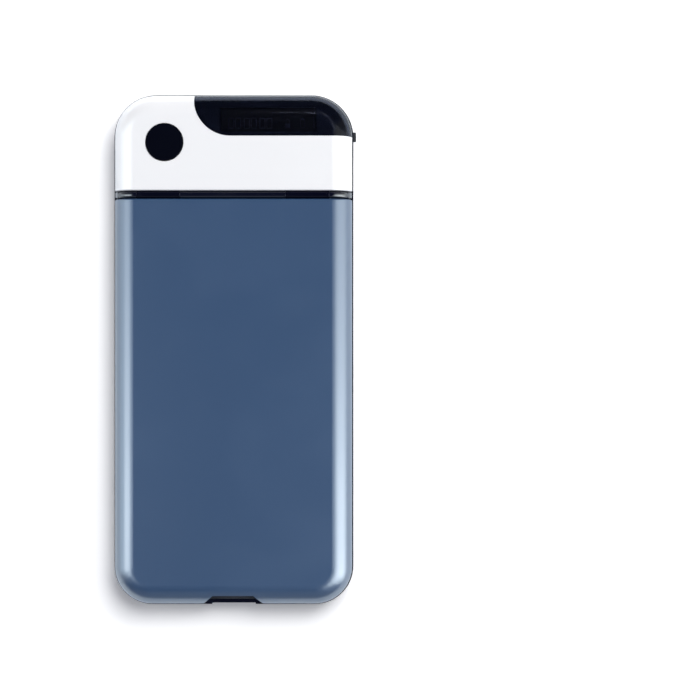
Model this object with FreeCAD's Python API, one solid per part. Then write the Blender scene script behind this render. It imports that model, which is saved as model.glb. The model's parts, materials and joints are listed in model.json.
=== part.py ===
import FreeCAD, Part
import math
import os

V = FreeCAD.Vector

# A timed lock container for a phone, lying on its back, in millimetres.
# The origin is the middle of the flat back face. +Z points out of the lid, +Y towards the head
# with the knob and display, and +X to the side with the slide switch.
# The model is at rest: lid shut, lock open, knob up, switch at its head end.

# ---------------------------------------------------------------- outer form
width = 100.0
length = 213.0
thickness = 24.0          # back face to the front face of lid and head
cover_step = 0.5          # lid and head stand this far inside the back shell's outline
foot_corner = 16.0        # plan corner radius at the foot
head_corner = 14.3        # plan corner radius at the head
front_round = 8.4         # edge radius round the lid and head
back_round = 7.0          # edge radius round the back
wall = 2.0
rim_height = 14.0         # top of the back shell's side walls
seam = 0.3                # shadow gap between the rim and what lies on it
head_length = 40.6        # head cover, along Y
strip_width = 3.4         # gap between head cover and lid that shows the hinge

half_width = width / 2
half_length = length / 2
head_edge = half_length - head_length
lid_edge = head_edge - strip_width
cover_base = rim_height + seam
cover_wall = cover_step + wall
inner_width = half_width - wall
inner_end = half_length - wall


def from_left(distance):
    """X of a place at a distance from the side without the switch."""
    return -half_width + distance


def from_right(distance):
    """X of a place at a distance from the side with the switch."""
    return half_width - distance


def from_head(distance):
    """Y of a place at a distance from the head's end."""
    return half_length - distance


def from_foot(distance):
    """Y of a place at a distance from the foot."""
    return -half_length + distance


# ---------------------------------------------------------------- hinge
barrel_radius = 1.5
barrel_sink = 0.15        # crest of the barrel below the front face
pin_radius = 0.75
pin_play = 0.05           # radial, in the lid's knuckles
knuckle_gap = 0.2         # between neighbouring knuckles along X
lid_knuckle = 17.8        # length of each lid knuckle
cheek_length = 10.0       # the part of each half that the cheek takes, along X
cheek_inset = 0.15        # cheeks lie this far inside the covers' form
cheek_width = 2.8
cheek_round = 1.2
pin_seat = 2.2            # depth of each pin end in its cheek
bulkhead_wall = 2.2
bulkhead_gap = 0.5        # to the head cover's end wall
bulkhead_drop = 0.45      # bulkhead top below the lid's knuckles
head_edge_round = 0.7
lid_edge_round = 0.5

axis_y = (head_edge + lid_edge) / 2
axis_z = thickness - barrel_sink - barrel_radius
cheek_start = half_width - cheek_length
lid_knuckle_end = cheek_start - knuckle_gap
lid_knuckle_start = lid_knuckle_end - lid_knuckle
base_knuckle = lid_knuckle_start - knuckle_gap
bulkhead_head_side = head_edge - bulkhead_gap
bulkhead_lid_side = bulkhead_head_side - bulkhead_wall
bulkhead_top = axis_z - barrel_radius - bulkhead_drop

# ---------------------------------------------------------------- lock
yoke_bottom = 7.5
yoke_height = 3.0
yoke_bar = 4.0            # crossbar, along Y
arm_width = 1.6
slide_gap = 0.3           # running gap under and beside the yoke
lock_stroke = 5.0
hook_width = 1.6          # sheet of the hooks, along X
hook_gap = 1.0            # hook to tray wall
arm_gap = 0.8             # arm to hook and arm to outer wall
hook_length = 5.0         # shank, along Y
hook_toe = 4.0            # toe beyond the shank, along Y
toe_height = 1.6
catch_gap = 0.4           # catch over toe when locked
catch_length = 3.0
catch_lead = 1.5          # toe to catch when open
catch_rise = 0.3          # catch's underside above the yoke's
catch_shoulder = 0.7      # face around the tenon that holds the catch in its arm
hook_reaches = (18.5, 106.5)        # foot to each pair of hooks
hook_places = [from_foot(reach) for reach in hook_reaches]
channel_rib = 1.6
channel_rib_reaches = (32.5, 66.5, 146.5)
channel_rib_places = [from_foot(reach) for reach in channel_rib_reaches]
rail_width = 2.0
rail_spacing = 46.0
keeper_width = 6.0
keeper_height = 1.6
keeper_spacing = 50.0

channel = hook_gap + hook_width + arm_gap + arm_width + arm_gap
tray_half_width = inner_width - channel
hook_inner = tray_half_width + hook_gap
hook_outer = hook_inner + hook_width
arm_inner = hook_outer + arm_gap
arm_outer = arm_inner + arm_width
bar_front = bulkhead_head_side + slide_gap + lock_stroke
bar_back = bar_front + yoke_bar
yoke_top = yoke_bottom + yoke_height
catch_bottom = yoke_bottom + catch_rise
catch_front = [y + hook_length / 2 + hook_toe + catch_lead for y in hook_places]
toe_top = catch_bottom - catch_gap
toe_bottom = toe_top - toe_height
rail_top = yoke_bottom - slide_gap

# ---------------------------------------------------------------- lock drive
gear_module = 0.7
gear_teeth = 12
pressure_angle = math.radians(25.0)
tooth_play = 0.06         # thinning of each tooth, half on either flank
root_play = 0.175         # tooth tip to the opposite root
flank_points = 5          # points that each curved flank passes through
rack_back = 2.4           # solid bar behind the rack's roots
rack_reach = 40.2         # right side to the rack's pitch line
rack_line_x = from_right(rack_reach)
rack_margin = 3.0
pinion_reach = 22.5       # head to the pinion's axis
pinion_y = from_head(pinion_reach)
pinion_height = 2.8
pinion_lift = 0.1         # pinion's lower face above the rack's
shaft_radius = 1.0
shaft_play = 0.05
housing_size = (19.0, 15.0, 5.0)
housing_corner = 3.0
housing_lead = 6.0        # housing side to the pinion axis
can_radius = 3.0
can_length = 11.5
motor_screw_inset = 2.5

pitch_radius = gear_module * gear_teeth / 2
pinion_x = rack_line_x + pitch_radius
pinion_bottom = yoke_bottom + pinion_lift

# ---------------------------------------------------------------- tray, liner and pads
tray_wall = 1.2
tray_floor = 1.2
tray_corner = 9.0
tray_bottom_round = 5.0
tray_end_gap = 0.8        # tray to the back shell's end wall
tray_head_gap = 0.3       # tray to the bulkhead
flange_drop = 0.2         # tray flange below the rim
flange_height = 1.2
flange_gap = 0.15         # flange to the side walls
slot_lead = 2.4           # hook slots beyond the shank, towards the foot
slot_gap = 0.5
pad_thickness = 1.2
pad_margin = 5.2          # tray wall to foam
pad_corner = 6.0
liner_gap = 0.1
liner_wall = 1.4
liner_lift = 0.1          # liner's edge above the lid shell's edge
liner_end_gap = 0.2
hook_pad_length = 8.0
hook_pad_bottom = 14.8
hook_pad_top = 18.7
hook_top = 18.5

liner_outer = cover_wall + liner_gap
liner_inner = liner_outer + liner_wall
liner_end = lid_edge - wall - liner_end_gap
liner_underside = thickness + cover_step - liner_inner
tray_foot = -(inner_end - tray_end_gap)
tray_head = bulkhead_lid_side - tray_head_gap
flange_top = rim_height - flange_drop

# ---------------------------------------------------------------- finger notch
notch_mouth = 26.3        # width at the foot's outline
notch_inner_width = 16.9
notch_depth = 4.35
notch_lip = 1.0           # lid edge over the finger pocket
pocket_wall = 1.2
pocket_lift = 0.5         # pocket wall above the covers' lower edge
scoop_width = 18.2
scoop_depth = 0.6
scoop_height = 6.0

notch_flare = (notch_mouth - notch_inner_width) / 2 / notch_depth

# ---------------------------------------------------------------- head cover, window and knob
window_width = 66.15
window_length = 17.95
window_arc = 15.2
window_gap = 0.1
window_wall = 1.6
ledge_wall = 1.0
ledge_gap = 0.15
ledge_margin = 2.0
aperture_margin = 0.4
knob_side = 21.75         # left side to the knob's middle
knob_end = 20.6           # head to the knob's middle
knob_radius = 7.7
knob_gap = 0.25
knob_proud = 0.8
knob_disc = 2.5
knob_edge = 0.35
knob_hub_radius = 4.5
knob_hub = 0.9
knob_press = 0.6

window_left = from_right(window_width)
window_low = from_head(window_length)
knob_x = from_left(knob_side)
knob_y = from_head(knob_end)
knob_top = thickness + knob_proud
knob_bottom = knob_top - knob_disc

# ---------------------------------------------------------------- circuit board and what it carries
board_bottom = 15.2
board_thickness = 1.2
board_side_gap = 5.0
board_near = 5.0          # board edge beyond the head cover's own edge
board_end_gap = 2.5
board_corner = 9.0
board_low_corner = 2.0
board_boss_radius = 2.2
board_boss_side = 14.0    # side to the outer bosses
board_boss_low = 31.5     # head to the lower row
board_boss_high = 8.5     # head to the single boss beside the window
board_boss_high_side = 32.0
board_boss_mid_side = 40.0
board_screw_radius = 0.9
board_screw_head = 1.7
board_screw_height = 1.2
board_screw_length = 3.6
encoder_side = 12.0
encoder_height = 4.2
encoder_floor = 0.5
encoder_shaft_radius = 3.0
shaft_flat = 0.8
bore_play = 0.05
plunger_radius = 2.9
plunger_height = 0.8
plunger_travel_gap = 0.1
display_side = 35.3       # right side to the display's middle
display_end = 11.1        # head to the display's middle
display_width = 39.6
display_depth = 10.0
glass_thickness = 2.3
holder_wall = 1.2
holder_lip = 0.3
holder_height = 2.2
buzzer_radius = 4.5
buzzer_height = 4.0
buzzer_hole = 0.75
buzzer_side = 28.0        # right side to the buzzer's middle
buzzer_end = 29.0         # head to the buzzer's middle
chip_size = (9.0, 9.0, 1.2)
chip_x = -6.0
chip_end = 27.5
socket_size = (5.0, 4.0, 2.4)
motor_socket_side = 29.0  # left side to the motor's socket
motor_socket_end = 31.0
cell_socket_side = 19.0   # right side to the battery's socket
cell_socket_end = 25.5

board_top = board_bottom + board_thickness
board_boss_places = ((from_left(board_boss_side), from_head(board_boss_low)),
                     (from_left(board_boss_high_side), from_head(board_boss_high)),
                     (from_right(board_boss_side), from_head(board_boss_low)),
                     (from_right(board_boss_mid_side), from_head(board_boss_low)))
display_x = from_right(display_side)
display_y = from_head(display_end)
buzzer_x = from_right(buzzer_side)
buzzer_y = from_head(buzzer_end)
chip_place = (chip_x, from_head(chip_end))
socket_places = ((from_left(motor_socket_side), from_head(motor_socket_end)),
                 (from_right(cell_socket_side), from_head(cell_socket_end)))

# ---------------------------------------------------------------- battery, port and switch
battery_size = (22.0, 20.0, 5.2)
battery_side = 26.3       # left side to the battery's middle
battery_end = 16.5        # head to the battery's middle
battery_round = 2.4
battery_lift = 0.3
rib_height = 3.0
rib_width = 1.2
rib_length = 10.0
port_width = 8.94
port_height = 3.26
port_length = 7.4
port_shell = 0.3
port_back = 1.5           # solid end of the port's shell
tongue_width = 6.0
tongue_height = 0.6
tongue_recess = 0.6       # tongue behind the end face
port_gap = 0.15
port_board_size = (15.0, 7.0, 1.2)
port_board_bottom = 5.6
port_board_end_gap = 0.7
port_screw_x = 5.8
port_screw_inset = 1.6
port_screw_length = 2.8
switch_slot_end = 22.3    # head to the slot's lid end
switch_slot_length = 7.3
switch_slot_height = 2.6
switch_slot_middle = 10.3
nub_length = 4.0
nub_height = 2.0
nub_proud = 1.2
nub_round = 0.4
nub_end_gap = 0.2
switch_travel = 3.0
switch_body_size = (3.7, 9.6, 4.2)
switch_pocket = 2.8
switch_seat_gap = 0.1     # case to side wall
sensor_size = (6.0, 3.2, 4.4)
sensor_x = -4.0
sensor_gap = 0.3
sensor_button = 0.5
sensor_button_width = 2.0

battery_x = from_left(battery_side)
battery_y = from_head(battery_end)
port_screw_y = inner_end - port_board_end_gap - port_board_size[1] + port_screw_inset
switch_slot_low = from_head(switch_slot_end)

# ---------------------------------------------------------------- head screws
boss_radius = 2.7
boss_split = 7.8          # where the back shell's bosses meet the head cover's
boss_side = 7.5           # side to the bosses nearer the lid
boss_end = 27.5
corner_boss_side = 12.0   # side to the bosses in the corners
corner_boss_end = 10.0
screw_radius = 1.2
screw_play = 0.2
screw_head_radius = 2.2
screw_head_height = 1.5
screw_recess = 0.4
screw_length = 14.0
small_screw_radius = 0.8
small_screw_head = 1.3
small_screw_height = 0.8

boss_places = ((from_right(boss_side), from_head(boss_end)),
               (from_right(corner_boss_side), from_head(corner_boss_end)))

overshoot = 1.0           # cutting tools pass this far beyond what they cut


# ---------------------------------------------------------------- shape helpers
def block(x0, x1, y0, y1, z0, z1):
    """A box between two corners."""
    return Part.makeBox(x1 - x0, y1 - y0, z1 - z0, V(x0, y0, z0))


def post(x, y, radius, z0, z1):
    """An upright cylinder."""
    return Part.makeCylinder(radius, z1 - z0, V(x, y, z0))


def bar(radius, x0, x1, y, z):
    """A cylinder along X."""
    return Part.makeCylinder(radius, x1 - x0, V(x0, y, z), V(1, 0, 0))


def mirrored(shape):
    """The same shape on the other side of the middle plane."""
    return shape.mirror(V(0, 0, 0), V(1, 0, 0))


def both_sides(shape):
    """A shape and its mirror image, as a list."""
    return [shape, mirrored(shape)]


def joined(shapes):
    """All shapes fused to one clean solid."""
    return shapes[0].multiFuse(list(shapes[1:])).removeSplitter()


def flat_edges(shape, level):
    """Edges that lie in the horizontal plane at a level."""
    return [e for e in shape.Edges
            if abs(e.BoundBox.ZMin - level) < 1e-4 and abs(e.BoundBox.ZMax - level) < 1e-4]


def upright_edges(shape, y):
    """Vertical straight edges at a given y."""
    return [e for e in shape.Edges
            if abs(e.BoundBox.YMin - y) < 1e-4 and abs(e.BoundBox.YMax - y) < 1e-4
            and e.BoundBox.XLength < 1e-4]


def plate(x0, x1, y0, y1, z0, z1, low_corner, high_corner):
    """A block with rounded corners in plan, of one radius at each end."""
    body = block(x0, x1, y0, y1, z0, z1)
    body = body.makeFillet(low_corner, upright_edges(body, y0))
    return body.makeFillet(high_corner, upright_edges(body, y1))


def pebble(inset):
    """The back shell's outer form carried up over the lid, shrunk by inset all round."""
    top = thickness + cover_step - inset
    body = plate(-half_width + inset, half_width - inset, -half_length + inset, half_length - inset,
                 inset, top, foot_corner - inset, head_corner - inset)
    body = body.makeFillet(front_round + cover_step - inset, flat_edges(body, top))
    return body.makeFillet(back_round - inset, flat_edges(body, inset))


def slab(y0, y1, z0, z1):
    """A block wider than the container, to keep or cut a stretch of it."""
    reach = half_width + overshoot
    return block(-reach, reach, y0, y1, z0, z1)


def end_edges(shape, y, lowest):
    """Edges in the upright plane at y, apart from the one along the bottom."""
    return [e for e in shape.Edges
            if abs(e.BoundBox.YMin - y) < 1e-4 and abs(e.BoundBox.YMax - y) < 1e-4
            and e.BoundBox.ZMax > lowest + 1e-3]


def screw(x, y, z, radius, shank, head_radius, head_height, direction):
    """A screw with its head's underside at z, pointing up (1) or down (-1)."""
    axis = V(0, 0, direction)
    body = Part.makeCylinder(radius, shank, V(x, y, z), axis)
    head = Part.makeCylinder(head_radius, head_height, V(x, y, z), axis.negative())
    return joined([body, head])


# ---------------------------------------------------------------- back shell
def channel_ribs():
    """Cross ribs that carry the yoke's arms in the side channels."""
    ribs = []
    for y in channel_rib_places:
        rib = block(tray_half_width + slide_gap, half_width, y - channel_rib / 2, y + channel_rib / 2,
                    wall / 2, rail_top)
        ribs += both_sides(rib)
    return ribs


def yoke_rails():
    """Floor rails under the crossbar and keeper fingers over it, both beside the bulkhead."""
    parts = []
    back = bar_back + slide_gap
    x = rail_spacing / 2
    parts += both_sides(block(x - rail_width / 2, x + rail_width / 2, bulkhead_lid_side, back,
                              wall / 2, rail_top))
    x = keeper_spacing / 2
    low = yoke_top + slide_gap
    parts += both_sides(block(x - keeper_width / 2, x + keeper_width / 2, bulkhead_lid_side, back,
                              low, low + keeper_height))
    return parts


def bulkhead():
    """The wall between cavity and head, with the middle hinge knuckle along its top."""
    panel = slab(bulkhead_lid_side, bulkhead_head_side, wall / 2, bulkhead_top)
    web = block(-base_knuckle, base_knuckle, bulkhead_lid_side, bulkhead_head_side,
                bulkhead_top - overshoot, axis_z)
    knuckle = bar(barrel_radius, -base_knuckle, base_knuckle, axis_y, axis_z)
    return joined([panel.common(pebble(cover_step + cheek_inset)), web, knuckle])


def hinge_cheek():
    """The shoulder at one end of the hinge, which follows the container's rounded section."""
    y0 = axis_y - cheek_width / 2
    y1 = axis_y + cheek_width / 2
    zone = block(cheek_start, half_width + overshoot, y0, y1, rim_height, thickness)
    cheek = pebble(cover_step + cheek_inset).common(zone)
    rim = end_edges(cheek, y0, rim_height) + end_edges(cheek, y1, rim_height)
    outer = [e for e in rim if e.BoundBox.XMax > cheek_start + 1e-3]
    return cheek.makeFillet(cheek_round, outer)


def shell_bosses():
    """Hollow posts for the screws of the head cover and the charging board."""
    posts = []
    for x, y in boss_places:
        posts += both_sides(post(x, y, boss_radius, wall / 2, boss_split))
    posts += both_sides(post(port_screw_x, port_screw_y, small_screw_head, wall / 2, port_board_bottom))
    return posts


def battery_ribs():
    """Low ribs that hold the battery on the floor."""
    x0 = battery_x - battery_size[0] / 2 - battery_lift
    x1 = battery_x + battery_size[0] / 2 + battery_lift
    y0 = battery_y - rib_length / 2
    y1 = battery_y + rib_length / 2
    return [block(x0 - rib_width, x0, y0, y1, wall / 2, wall + rib_height),
            block(x1, x1 + rib_width, y0, y1, wall / 2, wall + rib_height)]


def sensor_post():
    """The block that carries the lock's position switch."""
    y0 = bar_back + sensor_gap + sensor_button
    return block(sensor_x - sensor_size[0] / 2, sensor_x + sensor_size[0] / 2, y0, y0 + sensor_size[1],
                 wall / 2, yoke_top - sensor_size[2])


def screw_passages():
    """Clearance holes and recesses for the head cover's screws, from the back face."""
    tools = []
    for x, y in boss_places:
        hole = post(x, y, screw_radius + screw_play, -overshoot, boss_split + overshoot)
        recess = post(x, y, screw_head_radius + screw_play, -overshoot, screw_recess + screw_head_height)
        tools += both_sides(hole) + both_sides(recess)
    pilot = post(port_screw_x, port_screw_y, small_screw_radius, wall, port_board_bottom + overshoot)
    return tools + both_sides(pilot)


def port_outline(grow):
    """The rounded outline of the USB port, as a bar along Y that reaches the head's end."""
    half = port_height / 2 + grow
    x = port_width / 2 + grow - half
    z = port_board_bottom + port_board_size[2] + port_height / 2
    start = half_length - port_length
    middle = block(-x, x, start, half_length, z - half, z + half)
    ends = [Part.makeCylinder(half, port_length, V(side * x, start, z), V(0, 1, 0)) for side in (-1, 1)]
    return joined([middle] + ends)


def shell_openings():
    """Slots for the yoke's arms, the port and the switch, and the finger scoop at the foot."""
    arm_slot = block(arm_inner - slide_gap, arm_outer + slide_gap, bulkhead_lid_side - overshoot,
                     bulkhead_head_side + overshoot, yoke_bottom - slide_gap, yoke_top + slide_gap)
    switch_slot = block(inner_width - overshoot, half_width + overshoot,
                        switch_slot_low, switch_slot_low + switch_slot_length,
                        switch_slot_middle - switch_slot_height / 2,
                        switch_slot_middle + switch_slot_height / 2)
    port = port_outline(port_gap)
    port.translate(V(0, overshoot, 0))
    scoop = plate(-scoop_width / 2, scoop_width / 2, rim_height - scoop_height, rim_height + scoop_height,
                  0, scoop_depth + overshoot, scoop_height / 2, scoop_height / 2)
    scoop.rotate(V(0, 0, 0), V(1, 0, 0), 90)
    scoop.translate(V(0, -half_length + scoop_depth, 0))
    return both_sides(arm_slot) + [switch_slot, port, scoop]


def back_shell():
    """The dark lower shell: back face, side walls, bulkhead, hinge knuckle and cheeks."""
    low = slab(-half_length - overshoot, half_length + overshoot, 0, rim_height)
    shell = pebble(0).common(low).cut(pebble(wall))
    inside = joined(channel_ribs() + yoke_rails() + shell_bosses() + battery_ribs() + [sensor_post()])
    inside = inside.common(pebble(wall / 2))
    shell = joined([shell, inside, bulkhead()] + both_sides(hinge_cheek()))
    pin_hole = bar(pin_radius, -cheek_start - pin_seat, cheek_start + pin_seat, axis_y, axis_z)
    return shell.cut(joined(shell_openings() + screw_passages() + [pin_hole]))


def hinge_pin():
    """One straight pin through all knuckles and into both cheeks."""
    end = cheek_start + pin_seat
    return bar(pin_radius, -end, end, axis_y, axis_z)


# ---------------------------------------------------------------- tray and pads
def hook_slots():
    """Openings in the tray's flange for the lid's hooks."""
    slots = []
    for y in hook_places:
        slot = block(hook_inner - slot_gap, hook_outer + slot_gap,
                     y - hook_length / 2 - slot_lead, y + hook_length / 2 + hook_toe + slot_gap,
                     flange_top - flange_height - overshoot, flange_top + overshoot)
        slots += both_sides(slot)
    return slots


def inner_tray():
    """The phone tray, with a flange that hides the lock's side channels."""
    body = plate(-tray_half_width, tray_half_width, tray_foot, tray_head, wall, flange_top,
                 tray_corner, tray_corner)
    body = body.makeFillet(tray_bottom_round, flat_edges(body, wall))
    flange = slab(-half_length, tray_head, flange_top - flange_height, flange_top)
    flange = flange.common(pebble(wall + flange_gap))
    t = tray_wall
    hollow = plate(-tray_half_width + t, tray_half_width - t, tray_foot + t, tray_head - t,
                   wall + tray_floor, flange_top + tray_corner, tray_corner - t, tray_corner - t)
    hollow = hollow.makeFillet(tray_bottom_round - t, flat_edges(hollow, wall + tray_floor))
    return joined([body, flange]).cut(joined([hollow] + hook_slots()))


def foam_pad(bottom):
    """A flat foam sheet with round corners."""
    x = tray_half_width - pad_margin
    return plate(-x, x, tray_foot + tray_wall + pad_margin, tray_head - tray_wall - pad_margin,
                 bottom, bottom + pad_thickness, pad_corner, pad_corner)


def tray_pad():
    """Foam on the tray's floor."""
    return foam_pad(wall + tray_floor)


def lid_pad():
    """Foam under the lid's liner."""
    return foam_pad(liner_underside - pad_thickness)


# ---------------------------------------------------------------- lid
def notch(grow, bottom, top):
    """The finger notch, a trapezoid in plan that opens to the foot, grown all round as asked."""
    side = notch_mouth / 2 + grow * math.hypot(1, notch_flare)
    outer = side + notch_flare * overshoot
    inner = side - notch_flare * (notch_depth + grow)
    y0 = from_foot(-overshoot)
    y1 = from_foot(notch_depth + grow)
    corners = [V(-outer, y0, bottom), V(outer, y0, bottom), V(inner, y1, bottom), V(-inner, y1, bottom)]
    return Part.Face(Part.makePolygon(corners + corners[:1])).extrude(V(0, 0, top - bottom))


def lid_shell():
    """The blue outer lid, with an end wall beside the hinge and the notch at its free end."""
    zone = slab(-half_length - overshoot, lid_edge, cover_base, thickness + overshoot)
    outer = pebble(cover_step).common(zone)
    outer = outer.makeFillet(lid_edge_round, end_edges(outer, lid_edge, cover_base))
    hollow = pebble(cover_wall).common(slab(-half_length, lid_edge - wall, 0, thickness))
    gate = block(lid_knuckle_start - knuckle_gap, lid_knuckle_end + knuckle_gap,
                 lid_edge - wall - overshoot, lid_edge + overshoot,
                 axis_z - barrel_radius - liner_gap, thickness - wall)
    entry = notch(0, cover_base - overshoot, thickness + overshoot)
    return outer.cut(joined([hollow, entry])).cut(joined(both_sides(gate)))


def liner_knuckle():
    """One of the liner's knuckles with the arm that carries it."""
    arm = block(lid_knuckle_start, lid_knuckle_end, liner_end - overshoot, axis_y,
                axis_z - barrel_radius, thickness + cover_step - liner_outer)
    return joined([arm, bar(barrel_radius, lid_knuckle_start, lid_knuckle_end, axis_y, axis_z)])


def finger_pocket():
    """The wall behind the finger notch that closes the cavity."""
    block_behind = notch(notch_lip + pocket_wall, cover_base + pocket_lift, liner_underside)
    return block_behind.common(pebble(liner_outer))


def hook_pads():
    """Blocks on the liner's side walls that the hooks are screwed to."""
    pads = []
    for y in hook_places:
        pad = block(hook_outer, half_width - liner_outer, y - hook_pad_length / 2, y + hook_pad_length / 2,
                    hook_pad_bottom, hook_pad_top)
        pads += both_sides(pad.common(pebble(liner_outer)))
    return pads


def hook_screw_shanks():
    """The shanks of the hooks' screws, which also cut their holes."""
    z = (hook_pad_bottom + hook_top) / 2
    shanks = []
    for y in hook_places:
        shank = bar(small_screw_radius, hook_inner, hook_outer + hook_width, y, z)
        shanks += both_sides(shank)
    return shanks


def lid_liner():
    """The dark inner lid, with the knuckles, the finger pocket and the hooks' pads."""
    zone = slab(-half_length, liner_end, cover_base + liner_lift, thickness)
    skin = pebble(liner_outer).common(zone).cut(pebble(liner_inner))
    skin = joined([skin, finger_pocket()] + hook_pads() + both_sides(liner_knuckle()))
    gate = notch(notch_lip, cover_base - overshoot, thickness)
    reach = lid_knuckle_end + overshoot
    bore = bar(pin_radius + pin_play, -reach, reach, axis_y, axis_z)
    return skin.cut(joined([gate, bore] + hook_screw_shanks()))


def lid_hooks():
    """Four sheet hooks that hang from the lid into the side channels."""
    hooks = []
    for y in hook_places:
        low = y - hook_length / 2
        high = y + hook_length / 2
        shank = block(hook_inner, hook_outer, low, high, toe_bottom, hook_top)
        head = block(hook_inner, hook_outer, y - hook_pad_length / 2, y + hook_pad_length / 2,
                     hook_pad_bottom, hook_top)
        toe = block(hook_inner, hook_outer, low, high + hook_toe, toe_bottom, toe_top)
        hook = joined([shank, head, toe])
        hooks += both_sides(hook)
    return Part.makeCompound([h.cut(joined(hook_screw_shanks())) for h in hooks])


def hook_screws():
    """The hooks' screws, with their heads towards the cavity."""
    z = (hook_pad_bottom + hook_top) / 2
    screws = []
    for y in hook_places:
        shank = bar(small_screw_radius, hook_inner, hook_outer + hook_width, y, z)
        head = bar(small_screw_head, hook_inner - small_screw_height, hook_inner, y, z)
        screws += both_sides(joined([shank, head]))
    return Part.makeCompound(screws)


# ---------------------------------------------------------------- lock
def rack_teeth():
    """The rack's teeth and bar, as an outline in plan with a gap facing the pinion's axis."""
    pitch = math.pi * gear_module
    tip = gear_module
    root = gear_module + root_play
    lean = math.tan(pressure_angle)
    half = (pitch / 2 - tooth_play) / 2
    count = int((lock_stroke + 2 * rack_margin) / pitch) + 1
    first = pinion_y - (math.ceil(rack_margin / pitch) - 0.5) * pitch
    x_root = rack_line_x - root
    x_tip = rack_line_x + tip
    points = [V(x_root - rack_back, bar_front, yoke_bottom), V(x_root, bar_front, yoke_bottom)]
    for i in range(count):
        y = first + i * pitch
        points += [V(x_root, y - half - root * lean, yoke_bottom),
                   V(x_tip, y - half + tip * lean, yoke_bottom),
                   V(x_tip, y + half - tip * lean, yoke_bottom),
                   V(x_root, y + half + root * lean, yoke_bottom)]
    end = first + (count - 0.5) * pitch + rack_back / 2
    points += [V(x_root, end, yoke_bottom), V(x_root - rack_back, end, yoke_bottom), points[0]]
    return Part.Face(Part.makePolygon(points)).extrude(V(0, 0, yoke_height))


def catch_tenons():
    """The square ends of the catches, which pass through the yoke's arms."""
    tenons = []
    for y in catch_front:
        tenon = block(arm_inner, arm_outer, y + catch_shoulder, y + catch_length - catch_shoulder,
                      catch_bottom + catch_shoulder, yoke_top - catch_shoulder)
        tenons += both_sides(tenon)
    return tenons


def lock_yoke():
    """The U-shaped slide bar: crossbar with rack and two slotted arms."""
    crossbar = block(-arm_outer, arm_outer, bar_front, bar_back, yoke_bottom, yoke_top)
    arm = block(arm_inner, arm_outer, min(catch_front), bar_back, yoke_bottom, yoke_top)
    return joined([crossbar, rack_teeth()] + both_sides(arm)).cut(joined(catch_tenons()))


def lock_catches():
    """Four blocks on the yoke's arms that slide over the hooks' toes."""
    catches = []
    for y in catch_front:
        catches += both_sides(block(hook_inner, arm_inner, y, y + catch_length, catch_bottom, yoke_top))
    return Part.makeCompound([joined([c, t]) for c, t in zip(catches, catch_tenons())])


def involute(radius_base, angle, start):
    """A point of an involute at a roll angle, turned to start from a direction."""
    turn = start + angle
    x = radius_base * (math.cos(turn) + angle * math.sin(turn))
    y = radius_base * (math.sin(turn) - angle * math.cos(turn))
    return x, y


def flank(radius_base, radius_tip, start, side):
    """One tooth flank from the base circle to the tip, as a curve."""
    last = math.sqrt((radius_tip / radius_base) ** 2 - 1)
    points = []
    for i in range(flank_points):
        x, y = involute(radius_base, last * i / (flank_points - 1), 0)
        y = side * y
        points.append(V(x * math.cos(start) - y * math.sin(start),
                        x * math.sin(start) + y * math.cos(start), 0))
    curve = Part.BSplineCurve()
    curve.interpolate(points)
    return curve.toShape(), points


def pinion_tooth():
    """One involute tooth that points along -X, with a foot that reaches into the hub."""
    base = pitch_radius * math.cos(pressure_angle)
    tip = pitch_radius + gear_module
    roll = math.tan(pressure_angle) - pressure_angle
    half = (math.pi / 2 * gear_module - tooth_play) / (2 * pitch_radius) + roll
    lower, low_points = flank(base, tip, math.pi - half, 1)
    upper, high_points = flank(base, tip, math.pi + half, -1)
    crown = Part.Arc(low_points[-1], V(-tip, 0, 0), high_points[-1]).toShape()
    inner = V(-shaft_radius - root_play, 0, 0)
    sides = [Part.makeLine(inner, low_points[0]), Part.makeLine(high_points[0], inner)]
    return Part.Face(Part.Wire([sides[0], lower, crown, upper, sides[1]]))


def drive_pinion():
    """The pinion that drives the rack, with one tooth in mesh."""
    tooth = pinion_tooth().extrude(V(0, 0, pinion_height))
    hub = Part.makeCylinder(pitch_radius - gear_module - root_play, pinion_height)
    teeth = [hub]
    for i in range(gear_teeth):
        copy = tooth.copy()
        copy.rotate(V(0, 0, 0), V(0, 0, 1), i * 360.0 / gear_teeth)
        teeth.append(copy)
    gear = joined(teeth).cut(Part.makeCylinder(shaft_radius, pinion_height))
    gear.translate(V(pinion_x, pinion_y, pinion_bottom))
    return gear


def output_shaft():
    """The gear motor's output shaft, which carries the pinion."""
    return post(pinion_x, pinion_y, shaft_radius, wall + housing_size[2] / 2,
                pinion_bottom + pinion_height + slide_gap)


def motor_screw_spots():
    """Places of the gear motor's screws, at the side away from the rack."""
    x = pinion_x - housing_lead + housing_size[0] - motor_screw_inset
    y = housing_size[1] / 2 - motor_screw_inset
    return [(x, pinion_y - y), (x, pinion_y + y)]


def gear_motor():
    """The flat gear housing with the motor can at its side."""
    x0 = pinion_x - housing_lead
    y = housing_size[1] / 2
    top = wall + housing_size[2]
    housing = plate(x0, x0 + housing_size[0], pinion_y - y, pinion_y + y, wall, top,
                    housing_corner, housing_corner)
    collar = post(pinion_x, pinion_y, 2 * shaft_radius, top - overshoot, pinion_bottom - slide_gap)
    can = bar(can_radius, x0 + housing_size[0] - overshoot, x0 + housing_size[0] + can_length,
              pinion_y, wall + can_radius)
    shaft_hole = post(pinion_x, pinion_y, shaft_radius + shaft_play, wall + housing_size[2] / 2 - slide_gap,
                      pinion_bottom)
    holes = [post(x, y, small_screw_radius, wall, top + overshoot) for x, y in motor_screw_spots()]
    return joined([housing, collar, can]).cut(joined([shaft_hole] + holes))


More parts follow.
